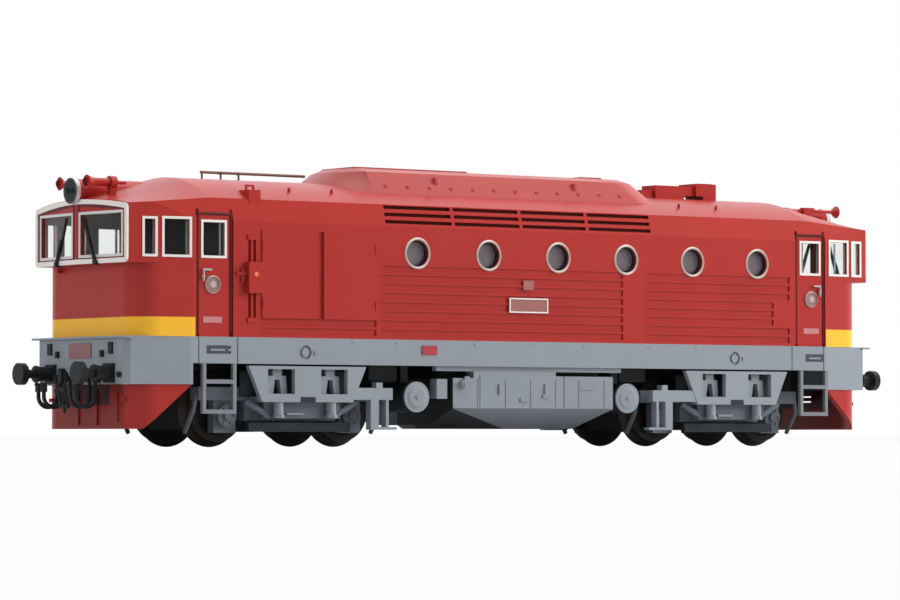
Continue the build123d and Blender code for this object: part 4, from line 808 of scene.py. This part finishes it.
# Cab interiors: dark grey mouldings with a dark green back wall, brown seat pads, and on the desk a black
# panel, a control wheel and a brake column. The block of ballast and motor in the body is bare metal.
BACK_WALL = 68.0 * MM
WALL_GREEN = (0.016, 0.030, 0.025)
SEAT_AHEAD = 74.6
SEAT_OUT = 8.0
SEAT_HALF = 2.0
PAD_HEIGHT = (28.0, 28.6)
PANEL_AHEAD = 82.5
PANEL_SIDE = 3.0
PANEL_WIDTH = 9.0
PANEL_REACH = (-1.8, 1.2)
PANEL_HEIGHT = (31.0, 31.6)
WHEEL_OUT = 6.0
WHEEL_STEM = ((81.6, 31.4), (80.9, 32.6))
WHEEL_DISC = ((80.9, 32.5), (80.75, 32.75))
WHEEL_RADIUS = 1.6
COLUMN_OUT = 11.5
COLUMN = ((81.5, 31.4), (81.5, 33.0))
BRAKE_HANDLE = ((80.6, 33.0), (82.4, 33.1))


def add_desk_rod(form, end, out, places, radius, sides=12):
    """Rod on a cab desk between two (ahead, height) places."""
    start, stop = (spot(end * ahead, end * out, height) for ahead, height in places)
    add_rod(form, start, stop, radius, sides)


cab_green = sprayed("cab_green", (0.10, 0.105, 0.11), gloss=0.6)
tree, x, y, z = canvas(cab_green)
overpaint(cab_green, within(tree, x, BACK_WALL), WALL_GREEN)
finish_nodes(cab_green, "cab_green", "cab_interiors")
ballast = sprayed("ballast", (0.11, 0.115, 0.12), gloss=0.5, mottle=0.15, metal=0.5)
finish_nodes(ballast, "ballast", "chassis_block")
pads = bmesh.new()
controls = bmesh.new()
for end in BOTH:
    for side in BOTH:
        add_block(pads, around(end * SEAT_AHEAD, SEAT_HALF), around(side * SEAT_OUT, SEAT_HALF), PAD_HEIGHT)
    panel = [end * PANEL_AHEAD + reach for reach in PANEL_REACH]
    panel_side = end * PANEL_SIDE
    add_block(controls, panel, (panel_side, panel_side + PANEL_WIDTH), PANEL_HEIGHT)
    add_desk_rod(controls, end, WHEEL_OUT, WHEEL_STEM, 0.3)
    add_desk_rod(controls, end, WHEEL_OUT, WHEEL_DISC, WHEEL_RADIUS, sides=24)
    add_desk_rod(controls, end, COLUMN_OUT, COLUMN, 0.35)
    add_desk_rod(controls, end, COLUMN_OUT, BRAKE_HANDLE, 0.22)
add_piece("cab_seat_pads", pads, sprayed("seat_brown", (0.10, 0.045, 0.03), gloss=0.6))
add_piece("cab_controls", controls, black)

# Frame: die-cast zinc sprayed light grey; under the deck inside the skirts it is painted near-black as
# painted shade. Cast with it are a ring round each jacking point with a stop beside it, a row of screw
# heads, and a dark vent with a pull over each ladder.
FRAME_GREY = (0.275, 0.305, 0.335)
SHADE_BLACK = (0.016, 0.018, 0.021)
SKIRT_BOTTOM = RAIL + 13.2 * MM
INSIDE = 15.9 * MM
BETWEEN_BEAMS = 80.0 * MM
JACK_POINTS = (50.55, -51.75)
JACK_HEIGHT = 16.3
JACK_OUT = (16.95, 17.42)
JACK_RADIUS = 0.8
STOP_REACH = (-2.4, -1.9)
STOP_OUT = (17.35, 17.6)
STOP_HEIGHT = (15.9, 16.6)
FRAME_SCREWS = (40.0, 30.0, 12.0, -2.0, -14.0, -30.0, -42.0)
FRAME_SCREW_HEIGHT = 18.2
FRAME_SCREW_OUT = (17.35, 17.5)
FRAME_SCREW_RADIUS = 0.25
VENTS = (69.75, -72.5)
VENT_HALF = 2.3
VENT_OUT = (17.3, 17.44)
VENT_HEIGHT = (15.85, 17.35)
PULL_HALF = 1.5
PULL_OUT = (17.4, 17.56)
PULL_HEIGHT = (16.35, 16.7)
frame_grey = sprayed("frame_grey", FRAME_GREY, gloss=0.48)
frame_with_shade_below = sprayed("frame_with_shade_below", FRAME_GREY, gloss=0.48)
tree, x, y, z = canvas(frame_with_shade_below)
# near-black under the deck inside the skirts: painted shade
low_down = measure(tree, "LESS_THAN", z, SKIRT_BOTTOM)
painted_shade_under_deck = all_of(tree, within(tree, y, INSIDE), within(tree, x, BETWEEN_BEAMS), low_down)
overpaint(frame_with_shade_below, painted_shade_under_deck, SHADE_BLACK)
finish_nodes(frame_with_shade_below, "frame_grey", "underframe")
form = bmesh.new()
for middle in JACK_POINTS:
    add_stud(form, middle, JACK_HEIGHT, *JACK_OUT, JACK_RADIUS, sides=24)
    add_block(form, [middle + reach for reach in STOP_REACH], STOP_OUT, STOP_HEIGHT)
for ahead in FRAME_SCREWS:
    add_stud(form, ahead, FRAME_SCREW_HEIGHT, *FRAME_SCREW_OUT, FRAME_SCREW_RADIUS, sides=8)
turn_round(form)
add_piece("frame_fittings", form, frame_grey)

vents = bmesh.new()
pulls = bmesh.new()
for middle in VENTS:
    add_block(vents, around(middle, VENT_HALF), VENT_OUT, VENT_HEIGHT)
    add_block(pulls, around(middle, PULL_HALF), PULL_OUT, PULL_HEIGHT)
turn_round(vents)
turn_round(pulls)
add_piece("frame_vents", vents, sprayed("vent_grey", (0.07, 0.078, 0.085), gloss=0.6))
add_piece("frame_vent_pulls", pulls, frame_grey)

# Ladders: grey plastic mouldings plugged into the frame, a shade darker than it, with a flat tread on
# each rung.
LADDERS = (69.2, -72.5)
TREAD_HEIGHTS = (5.65, 11.05)
TREAD_HALF = 2.9
TREAD_OUT = (15.4, 17.3)
TREAD_THICK = 0.15
ladder_grey = sprayed("ladder_grey", (0.22, 0.235, 0.25), gloss=0.5)
finish_nodes(ladder_grey, "bogie_grey", "ladders")
form = bmesh.new()
for middle in LADDERS:
    for height in TREAD_HEIGHTS:
        add_block(form, around(middle, TREAD_HALF), TREAD_OUT, (height, height + TREAD_THICK))
turn_round(form)
add_piece("ladder_treads", form, ladder_grey)

# Fuel tank: a plastic moulding clipped under the frame, with the ribs, fold seam, filler, gauge and cock
# of a welded tank. It is sprayed grey, and its ends are painted near-black as painted shade, on a slant
# where the lower half folds in.
TANK_END = 16.85 * MM
TANK_SIDE = 17.0 * MM
BLACK_SLANT = 2.1
DRAIN_BOX_START = 17.6 * MM
FILLER_AHEAD = 14.5
FILLER_HEIGHT = 10.8
FILLER_OUT = (16.9, 17.75)
FILLER_RADIUS = 0.85
CAP_OUT = (17.7, 18.0)
CAP_RADIUS = (0.5, 0.4)
GAUGE = ((-5.9, -4.3), (16.95, 17.25), (8.3, 9.0))
SEAM_ENDS = (-20.6, 16.6)
SEAM_OUT = 17.0
SEAM_HEIGHT = 6.35
TANK_RIBS = (10.9, 4.4, -1.6, -7.6, -13.2, -19.4)
TANK_RIB_HALF = 0.15
TANK_RIB_OUT = (16.95, 17.1)
TANK_RIB_HEIGHT = (6.3, 11.7)
tank_grey = sprayed("tank_grey", (0.265, 0.292, 0.32), gloss=0.48)
tree, x, y, z = canvas(tank_grey)
# near-black on the tank's ends, on a slant: painted shade
toward_end = measure(tree, "MULTIPLY", x, measure(tree, "SIGN", y))
slant = measure(tree, "MULTIPLY", measure(tree, "ABSOLUTE", y), -BLACK_SLANT)
reach = measure(tree, "ADD", measure(tree, "ADD", toward_end, slant), BLACK_SLANT * TANK_SIDE)
off_drain_box = measure(tree, "LESS_THAN", toward_end, DRAIN_BOX_START)
painted_shade_on_ends = all_of(tree, measure(tree, "GREATER_THAN", reach, TANK_END), off_drain_box)
overpaint(tank_grey, painted_shade_on_ends, SHADE_BLACK)
finish_nodes(tank_grey, "frame_grey", "fuel_tank")
form = bmesh.new()
add_stud(form, FILLER_AHEAD, FILLER_HEIGHT, *FILLER_OUT, FILLER_RADIUS, sides=20)
add_stud(form, FILLER_AHEAD, FILLER_HEIGHT, *CAP_OUT, CAP_RADIUS[0], sides=20, end_radius=CAP_RADIUS[1])
add_block(form, *GAUGE)
seam_back, seam_front = (spot(ahead, SEAM_OUT, SEAM_HEIGHT) for ahead in SEAM_ENDS)
add_rod(form, seam_back, seam_front, 0.14, sides=6)
for ahead in TANK_RIBS:
    add_block(form, around(ahead, TANK_RIB_HALF), TANK_RIB_OUT, TANK_RIB_HEIGHT)
turn_round(form)
add_piece("tank_fittings", form, tank_grey)

# Tank gaps: near-black bars stand between the tank and the deck behind the sill, and a near-black box
# crosses the model at each end of the tank. They are painted shade that fills those gaps under the deck.
BAR_BACK = 21.0
BAR_FRONT = 16.5
BAR_OUT = 11.5
BAR_HALF = 1.2
BAR_HEIGHT = (11.3, 13.6)
GAP_SHADE_AHEAD = 29.8
GAP_SHADE_HALF = 3.2
GAP_SHADE_OUT = (-12.5, 12.5)
GAP_SHADE_HEIGHT = (11.5, 17.6)
form = bmesh.new()
for side in BOTH:
    along = sorted((-side * BAR_BACK, side * BAR_FRONT))
    add_block(form, along, around(side * BAR_OUT, BAR_HALF), BAR_HEIGHT)
for end in BOTH:
    add_block(form, around(end * GAP_SHADE_AHEAD, GAP_SHADE_HALF), GAP_SHADE_OUT, GAP_SHADE_HEIGHT)
add_piece("tank_gap_shades", form, black)

# Air drums: drums in the frame's grey that lie across the model beside the tank, plugged into the frame.
# Inward of their dished ends, rim included, they are painted near-black as painted shade under the frame;
# the dished ends and their drain plugs stay grey.
DRUM_AHEAD = 25.1
DRUM_HEIGHT = 8.3
DRUM_GREY_FROM = 16.5 * MM
DISH_OUT = (16.85, 17.1)
DISH_RADIUS = (2.45, 1.7)
PLUG_OUT = (17.05, 17.3)
PLUG_RADIUS = 0.4
DRUM_RIM_OUT = (15.4, 15.9)
DRUM_RIM_RADIUS = 2.95
drum_grey = sprayed("drum_grey", FRAME_GREY, gloss=0.48)
tree, x, y, z = canvas(drum_grey)
# near-black inward of the dished ends: painted shade
overpaint(drum_grey, within(tree, y, DRUM_GREY_FROM), SHADE_BLACK)
finish_nodes(drum_grey, "frame_grey", "air_tanks")
form = bmesh.new()
for end in BOTH:
    drum = (end * DRUM_AHEAD, DRUM_HEIGHT)
    for side in BOTH:
        dish = [side * out for out in DISH_OUT]
        plug = [side * out for out in PLUG_OUT]
        drum_rim = [side * out for out in DRUM_RIM_OUT]
        add_stud(form, *drum, *dish, DISH_RADIUS[0], sides=32, end_radius=DISH_RADIUS[1])
        add_stud(form, *drum, *plug, PLUG_RADIUS)
        add_stud(form, *drum, *drum_rim, DRUM_RIM_RADIUS, sides=32)
add_piece("air_drum_fittings", form, drum_grey)

# Buffer beams: cast with the frame, with black lamps in square bezels, a pale blank plate, air cocks
# and a step stud under each buffer. The cocks are black plastic, glued on.
BEAM_FACE = 88.0
BEAM_PLATE_FROM = 80.0 * MM
BEAM_PLATE_RED = (0.30, 0.14, 0.14)
VALVE_REACH = (-0.2, 0.5)
VALVE_OUT = 7.7
VALVE_HALF = 0.35
VALVE_HEIGHT = (15.2, 16.4)
COCK = (5.6, 12.9)
COCK_TIP = 89.0
STEP_STUD = (13.6, 12.0)
STEP_TIP = 88.5
finish_nodes(black, "black", "marker_lamps")
plates = sprayed("plate_red", (0.42, 0.055, 0.07), gloss=0.5, mottle=0.1)
tree, x, y, z = canvas(plates)
overpaint(plates, beyond(tree, x, BEAM_PLATE_FROM), BEAM_PLATE_RED)
finish_nodes(plates, "plate_red", "frame_plates")
cocks = bmesh.new()
for end in BOTH:
    valve = [end * BEAM_FACE + reach for reach in VALVE_REACH]
    for side in BOTH:
        add_block(cocks, valve, around(side * VALVE_OUT, VALVE_HALF), VALVE_HEIGHT)
        for (out, height), tip, radius in ((COCK, COCK_TIP, 0.4), (STEP_STUD, STEP_TIP, 0.5)):
            behind = spot(end * (BEAM_FACE - 0.1), side * out, height)
            add_rod(cocks, behind, spot(end * tip, side * out, height), radius)
add_piece("beam_cocks", cocks, black)

# Buffers and hook: turned and cast metal, blackened and pressed into the beam. Each buffer's sleeve has
# a square flange with four screws and a collar half way along.
BUFFER_OUT = 10.06
BUFFER_HEIGHT = 12.3
FLANGE_AHEAD = 88.05
FLANGE_REACH = (-0.15, 0.25)
FLANGE_HALF = 1.75
SCREW_APART = 1.35
SCREW_AHEAD = (88.2, 88.5)
COLLAR_AHEAD = (91.0, 91.4)
COLLAR_RADIUS = 1.55
finish_nodes(black, "black", "buffers", "draw_hook", "coupler_pocket")
form = bmesh.new()
for end in BOTH:
    flange = [end * FLANGE_AHEAD + reach for reach in FLANGE_REACH]
    for side in BOTH:
        out = side * BUFFER_OUT
        add_block(form, flange, around(out, FLANGE_HALF), around(BUFFER_HEIGHT, FLANGE_HALF))
        for across in around(out, SCREW_APART):
            for height in around(BUFFER_HEIGHT, SCREW_APART):
                foot, head = (spot(end * ahead, across, height) for ahead in SCREW_AHEAD)
                add_rod(form, foot, head, 0.25, sides=6)
        back, front = (spot(end * ahead, out, BUFFER_HEIGHT) for ahead in COLLAR_AHEAD)
        add_rod(form, back, front, COLLAR_RADIUS, sides=24)
add_piece("buffer_flanges", form, black)

# Screw coupling: bent wire and a cast bar, blackened, hung from the first hook. Two links hold a pin at
# the bottom, and a weighted lever hangs between them.
LINK_OUT = 0.75
LINK_SPREAD = 1.1
LINK_TOP = (91.4, 12.2)
LINK_KNEE = (91.9, 9.4)
LINK_FOOT = (91.2, 6.4)
LEVER_PIN = (91.7, 9.4)
LEVER_ENDS = ((91.7, 9.9), (91.2, 5.2))


def add_cross_pin(form, place, half, radius):
    """Pin across the model's middle at an (ahead, height) place."""
    ahead, height = place
    add_rod(form, spot(ahead, -half, height), spot(ahead, half, height), radius)


form = bmesh.new()
for out in BOTH:
    top = spot(LINK_TOP[0], out * LINK_OUT, LINK_TOP[1])
    knee = spot(LINK_KNEE[0], out * LINK_SPREAD, LINK_KNEE[1])
    add_tube(form, [top, knee, spot(LINK_FOOT[0], out * LINK_SPREAD, LINK_FOOT[1])], 0.3)
add_cross_pin(form, LINK_FOOT, 1.4, 0.35)
add_cross_pin(form, LINK_TOP, LINK_SPREAD, 0.35)
add_cross_pin(form, LEVER_PIN, 1.3, 0.4)
lever_top, lever_weight = (spot(ahead, 0, height) for ahead, height in LEVER_ENDS)
add_rod(form, lever_top, lever_weight, 0.32)
add_piece("screw_coupling", form, black)

# Brake hoses: stiff black mouldings plugged into the first beam, with a head at the tip of each and a
# clip on its cock.
HOSES_OUT = (4.6, 6.5, -4.6, -6.5)
HEAD = ((92.8, 9.0), (92.8, 10.2))
HEAD_LEVER = ((92.5, 10.1), (93.4, 10.5))
CLIP = ((88.8, 8.8), (88.8, 9.5))
finish_nodes(black, "black", "brake_hoses")
form = bmesh.new()
for out in HOSES_OUT:
    for places, radius, sides in ((HEAD, 0.62, 16), (HEAD_LEVER, 0.4, 12), (CLIP, 0.6, 16)):
        start, stop = (spot(ahead, out, height) for ahead, height in places)
        add_rod(form, start, stop, radius, sides)
add_piece("brake_hose_heads", form, black)

# Snow ploughs: red plastic plates plugged under the beams, with two ribs on the face and two small
# brackets. The face is painted a darker red than the sides as painted shade, and nearly black behind the
# hoses as painted shadow.
PLOUGH_SHADE_RED = (0.26, 0.017, 0.013)
HOSE_SHADOW_RED = (0.060, 0.009, 0.008)
PLOUGH_FACE = 12.2 * MM
HOSES_REACH = 7.6 * MM
HOSES_FOOT = RAIL + 6.6 * MM
RIB_AHEAD = 86.3
RIB_OUT = 3.2
RIB_HALF = 0.3
RIB_HEIGHT = (3.0, 9.4)
BRACKET_AHEAD = 86.4
BRACKET_OUT = 12.4
BRACKET_HEIGHT = (7.2, 7.9)
plough_red = sprayed("plough_red", RED, gloss=0.42)
tree, x, y, z = canvas(plough_red)
overpaint(plough_red, within(tree, y, PLOUGH_FACE), PLOUGH_SHADE_RED)
shaded = all_of(tree, within(tree, y, HOSES_REACH), measure(tree, "GREATER_THAN", z, HOSES_FOOT))
overpaint(plough_red, shaded, HOSE_SHADOW_RED)
finish_nodes(plough_red, "body_red", "snow_ploughs")
form = bmesh.new()
for end in BOTH:
    for side in BOTH:
        add_block(form, around(end * RIB_AHEAD, RIB_HALF), around(side * RIB_OUT, RIB_HALF), RIB_HEIGHT)
        bracket_out = around(side * BRACKET_OUT, 0.5)
        add_block(form, around(end * BRACKET_AHEAD, 0.4), bracket_out, BRACKET_HEIGHT)
add_piece("plough_ribs", form, plough_red)

# Bogies: grey plastic frames snapped on to the pins of the chassis, with a grey cradle plugged on each
# side. The frame, axle boxes and brake gear behind the cradle, with the screws, rods and pipes on them, get
# a darker copy of the cradle's grey as painted shade, and the gearbox between the wheels is painted
# near-black as painted shade. Each has spring pins under the cradle's windows, axle box screws, brake rods,
# sand pipes before the wheels and a coil behind each hanger. Thin near-black plates behind the cradle's
# windows and under the hangers are painted shade, with a near-black tie low down.
PIVOT = 51.15
HALF_WHEELBASE = 13.8
AXLE_HEIGHT = 4.75
CRADLE_SHIFT = 1.1
WINDOW_REACH = 5.85
AXLEBOX_FACE = 13.4
COIL_OUT = 14.4
COIL_FOOT = 8.3
COIL_HEIGHT = 4.0
PIN_OUT = 16.4
PIN_HEIGHT = (4.7, 7.3)
PIN_RADIUS = 0.95
NUT_HEIGHT = (4.3, 4.9)
NUT_RADIUS = 1.15
ROD_OUT = 15.2
ROD_TOP = (12.3, 7.4)
ROD_FOOT = (7.1, 4.6)
STRAP_REACH = (-0.2, 3.6)
STRAP_OUT = 15.75
STRAP_HEIGHT = (4.85, 5.25)
SAND_PIPE = 20.6
PIPE_TOP = (12.6, 8.8)
PIPE_KNEE = (12.4, 5.6)
PIPE_FOOT = (9.6, 1.6)
PIPE_LEAN = 0.6
BEAM_UNDER_CRADLE = ((8.4, 15.2, 0.35), (4.25, 7.2))
LOWER_TIE = ((11.2, 14.3, 0.5), (1.8, 3.5))
# near-black plate behind each cradle window: painted shade
WINDOW_SHADE_PLATE = ((12.4, 13.5, 0.1), (8.2, 12.9))
HANGER_SHADE = ((1.65, 17.45, 0.08), (7.15, 8.15))


def ring_tree():
    """Geometry Nodes tree that sets screw heads in a ring."""
    inputs = {"Count": "Int", "Ring Radius": "Float", "Head Radius": "Float", "Head Height": "Float"}
    tree, given = open_tree("ring_of_screws", inputs)
    circle = tree.nodes.new("GeometryNodeMeshCircle")
    head = tree.nodes.new("GeometryNodeMeshCylinder")
    head.inputs["Vertices"].default_value = 6
    tree.links.new(given["Count"], circle.inputs["Vertices"])
    tree.links.new(given["Ring Radius"], circle.inputs["Radius"])
    tree.links.new(given["Head Radius"], head.inputs["Radius"])
    tree.links.new(given["Head Height"], head.inputs["Depth"])
    return close_tree(tree, given, spread_tree(tree, circle.outputs["Mesh"], head.outputs["Mesh"]))


def coil_tree():
    """Geometry Nodes tree that winds a closed coil spring."""
    inputs = {"Turns": "Float", "Coil Radius": "Float", "Coil Height": "Float", "Wire Radius": "Float"}
    tree, given = open_tree("coil", inputs)
    spiral = tree.nodes.new("GeometryNodeCurveSpiral")
    spiral.inputs["Resolution"].default_value = 12
    wire = tree.nodes.new("GeometryNodeCurvePrimitiveCircle")
    wire.inputs["Resolution"].default_value = 6
    swept = tree.nodes.new("GeometryNodeCurveToMesh")
    swept.inputs["Fill Caps"].default_value = True
    tree.links.new(given["Turns"], spiral.inputs["Rotations"])
    tree.links.new(given["Coil Radius"], spiral.inputs["Start Radius"])
    tree.links.new(given["Coil Radius"], spiral.inputs["End Radius"])
    tree.links.new(given["Coil Height"], spiral.inputs["Height"])
    tree.links.new(given["Wire Radius"], wire.inputs["Radius"])
    tree.links.new(spiral.outputs["Curve"], swept.inputs["Curve"])
    tree.links.new(wire.outputs["Curve"], swept.inputs["Profile Curve"])
    return close_tree(tree, given, swept.outputs["Mesh"])


bogie_grey = sprayed("bogie_grey", (0.285, 0.315, 0.345), gloss=0.55, mottle=0.12)
# darker copy of the bogie grey: painted shade on the parts behind the cradle
bogie_shade_grey = sprayed("bogie_painted_shade_grey", (0.150, 0.168, 0.188), gloss=0.55, mottle=0.15)
# near-black on the gearbox: painted shade
gearbox_shade_black = sprayed("gearbox_shade_black", (0.012, 0.014, 0.016), gloss=0.7, mottle=0.2)
spring_grey = sprayed("spring_grey", (0.06, 0.065, 0.07), gloss=0.45, mottle=0.2)
tie_and_shade_black = sprayed("tie_and_shade_black", (0.030, 0.034, 0.040), gloss=0.6, mottle=0.2)
finish_nodes(bogie_grey, "frame_grey", "bogie_pins")
screw_ring = grow(ring_tree(), {
    "Count": 6,
    "Ring Radius": 1.5 * MM,
    "Head Radius": 0.22 * MM,
    "Head Height": 0.3 * MM,
    "Paint": bogie_shade_grey,
})
coil = grow(coil_tree(), {
    "Turns": 6.0,
    "Coil Radius": 0.62 * MM,
    "Coil Height": COIL_HEIGHT * MM,
    "Wire Radius": 0.14 * MM,
    "Paint": spring_grey,
})
for end_name, end in (("front", 1), ("rear", -1)):
    body = f"bogie_{end_name}"
    finish_nodes(bogie_grey, "bogie_grey", f"bogie_cradle_{end_name}", f"spring_hangers_{end_name}")
    for kind in ("bogie_frame", "axleboxes", "brake_gear"):
        finish_nodes(bogie_shade_grey, "bogie_grey", f"{kind}_{end_name}")
    finish_nodes(gearbox_shade_black, "black", f"bogie_gearbox_{end_name}")
    rings = bmesh.new()
    coils = bmesh.new()
    pins = bmesh.new()
    rods = bmesh.new()
    ties = bmesh.new()
    for side in BOTH:
        cradle = end * PIVOT - side * CRADLE_SHIFT
        lie = Matrix.Rotation(-side * pi / 2, 4, "X")
        for way in BOTH:
            axle = end * PIVOT + way * HALF_WHEELBASE
            ring_place = Matrix.Translation(spot(axle, side * AXLEBOX_FACE, AXLE_HEIGHT))
            add_grown(rings, screw_ring, ring_place @ lie)
            add_stud(rings, axle, AXLE_HEIGHT, side * 13.25, side * 13.75, 0.8, sides=20)
            window = cradle + way * WINDOW_REACH
            add_grown(coils, coil, Matrix.Translation(spot(window, side * COIL_OUT, COIL_FOOT)))
            for heights, radius, sides in ((PIN_HEIGHT, PIN_RADIUS, 16), (NUT_HEIGHT, NUT_RADIUS, 6)):
                foot, top = (spot(window, side * PIN_OUT, height) for height in heights)
                add_rod(pins, foot, top, radius, sides)
            pipe = end * PIVOT + way * SAND_PIPE
            pipe_top = spot(pipe - way * PIPE_LEAN, side * PIPE_TOP[0], PIPE_TOP[1])
            knee, tip = (spot(pipe, side * out, height) for out, height in (PIPE_KNEE, PIPE_FOOT))
            add_tube(rods, [pipe_top, knee, tip], 0.42)
            slope_top, slope_foot = (
                spot(cradle + way * reach, side * ROD_OUT, height) for reach, height in (ROD_TOP, ROD_FOOT)
            )
            add_rod(rods, slope_top, slope_foot, 0.62, sides=8)
        strap = [cradle + reach for reach in STRAP_REACH]
        add_block(pins, strap, around(side * STRAP_OUT, 0.25), STRAP_HEIGHT)
        for form, ((half, out, thick), heights) in (
            (rods, BEAM_UNDER_CRADLE),
            (ties, LOWER_TIE),
            (ties, WINDOW_SHADE_PLATE),
            (ties, HANGER_SHADE),
        ):
            add_block(form, around(cradle, half), around(side * out, thick), heights)
    add_piece(f"axlebox_screws_{end_name}", rings, bogie_shade_grey, body)
    add_piece(f"suspension_coils_{end_name}", coils, spring_grey, body)
    add_piece(f"cradle_pins_{end_name}", pins, bogie_grey, body)
    add_piece(f"bogie_rigging_{end_name}", rods, bogie_shade_grey, body)
    add_piece(f"bogie_ties_and_shades_{end_name}", ties, tie_and_shade_black, body)

# Wheels: turned steel, pressed on steel axles. Their faces are blackened, and the flange and the tread
# are browned where they meet the rail.
WHEELSETS = 4
RIM_FROM = 5.6 * MM
RIM_BROWN = (0.060, 0.052, 0.038)
for number in range(1, WHEELSETS + 1):
    steel = sprayed(f"wheel_steel_{number}", (0.028, 0.026, 0.024), gloss=0.5, mottle=0.25, metal=0.3)
    tree, x, y, z = canvas(steel)
    low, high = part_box(f"wheels_{number}")
    across = measure(tree, "SUBTRACT", x, (low.x + high.x) / 2)
    up = measure(tree, "SUBTRACT", z, (low.z + high.z) / 2)
    across_squared = measure(tree, "MULTIPLY", across, across)
    square = measure(tree, "ADD", across_squared, measure(tree, "MULTIPLY", up, up))
    overpaint(steel, measure(tree, "GREATER_THAN", square, RIM_FROM ** 2), RIM_BROWN)
    finish_nodes(steel, "wheel_steel", f"wheels_{number}", f"axle_{number}")

# Roof handrail: brown wire on three posts set into the roof, with a second wire lower down from the last
# post on and a clip on each crossing.
WIRE_OUT = -8.0
WIRE_HEIGHT = 48.8
LOWER_WIRE = (49.0, 36.0)
LOWER_CLIP = (48.2, 48.8)
UPPER_CLIPS = (52.5, 48.5)
UPPER_CLIP_HEIGHT = (50.0, 50.5)
rail_brown = sprayed("rail_brown", (0.20, 0.12, 0.095), gloss=0.5)
finish_nodes(rail_brown, "rail_brown", "roof_handrail")
form = bmesh.new()
for ends, radius in ((LOWER_WIRE, 0.24), (LOWER_CLIP, 0.36)):
    start, stop = (spot(ahead, WIRE_OUT, WIRE_HEIGHT) for ahead in ends)
    add_rod(form, start, stop, radius)
for ahead in UPPER_CLIPS:
    foot, top = (spot(ahead, WIRE_OUT, height) for height in UPPER_CLIP_HEIGHT)
    add_rod(form, foot, top, 0.4)
add_piece("handrail_lower_wire", form, rail_brown)
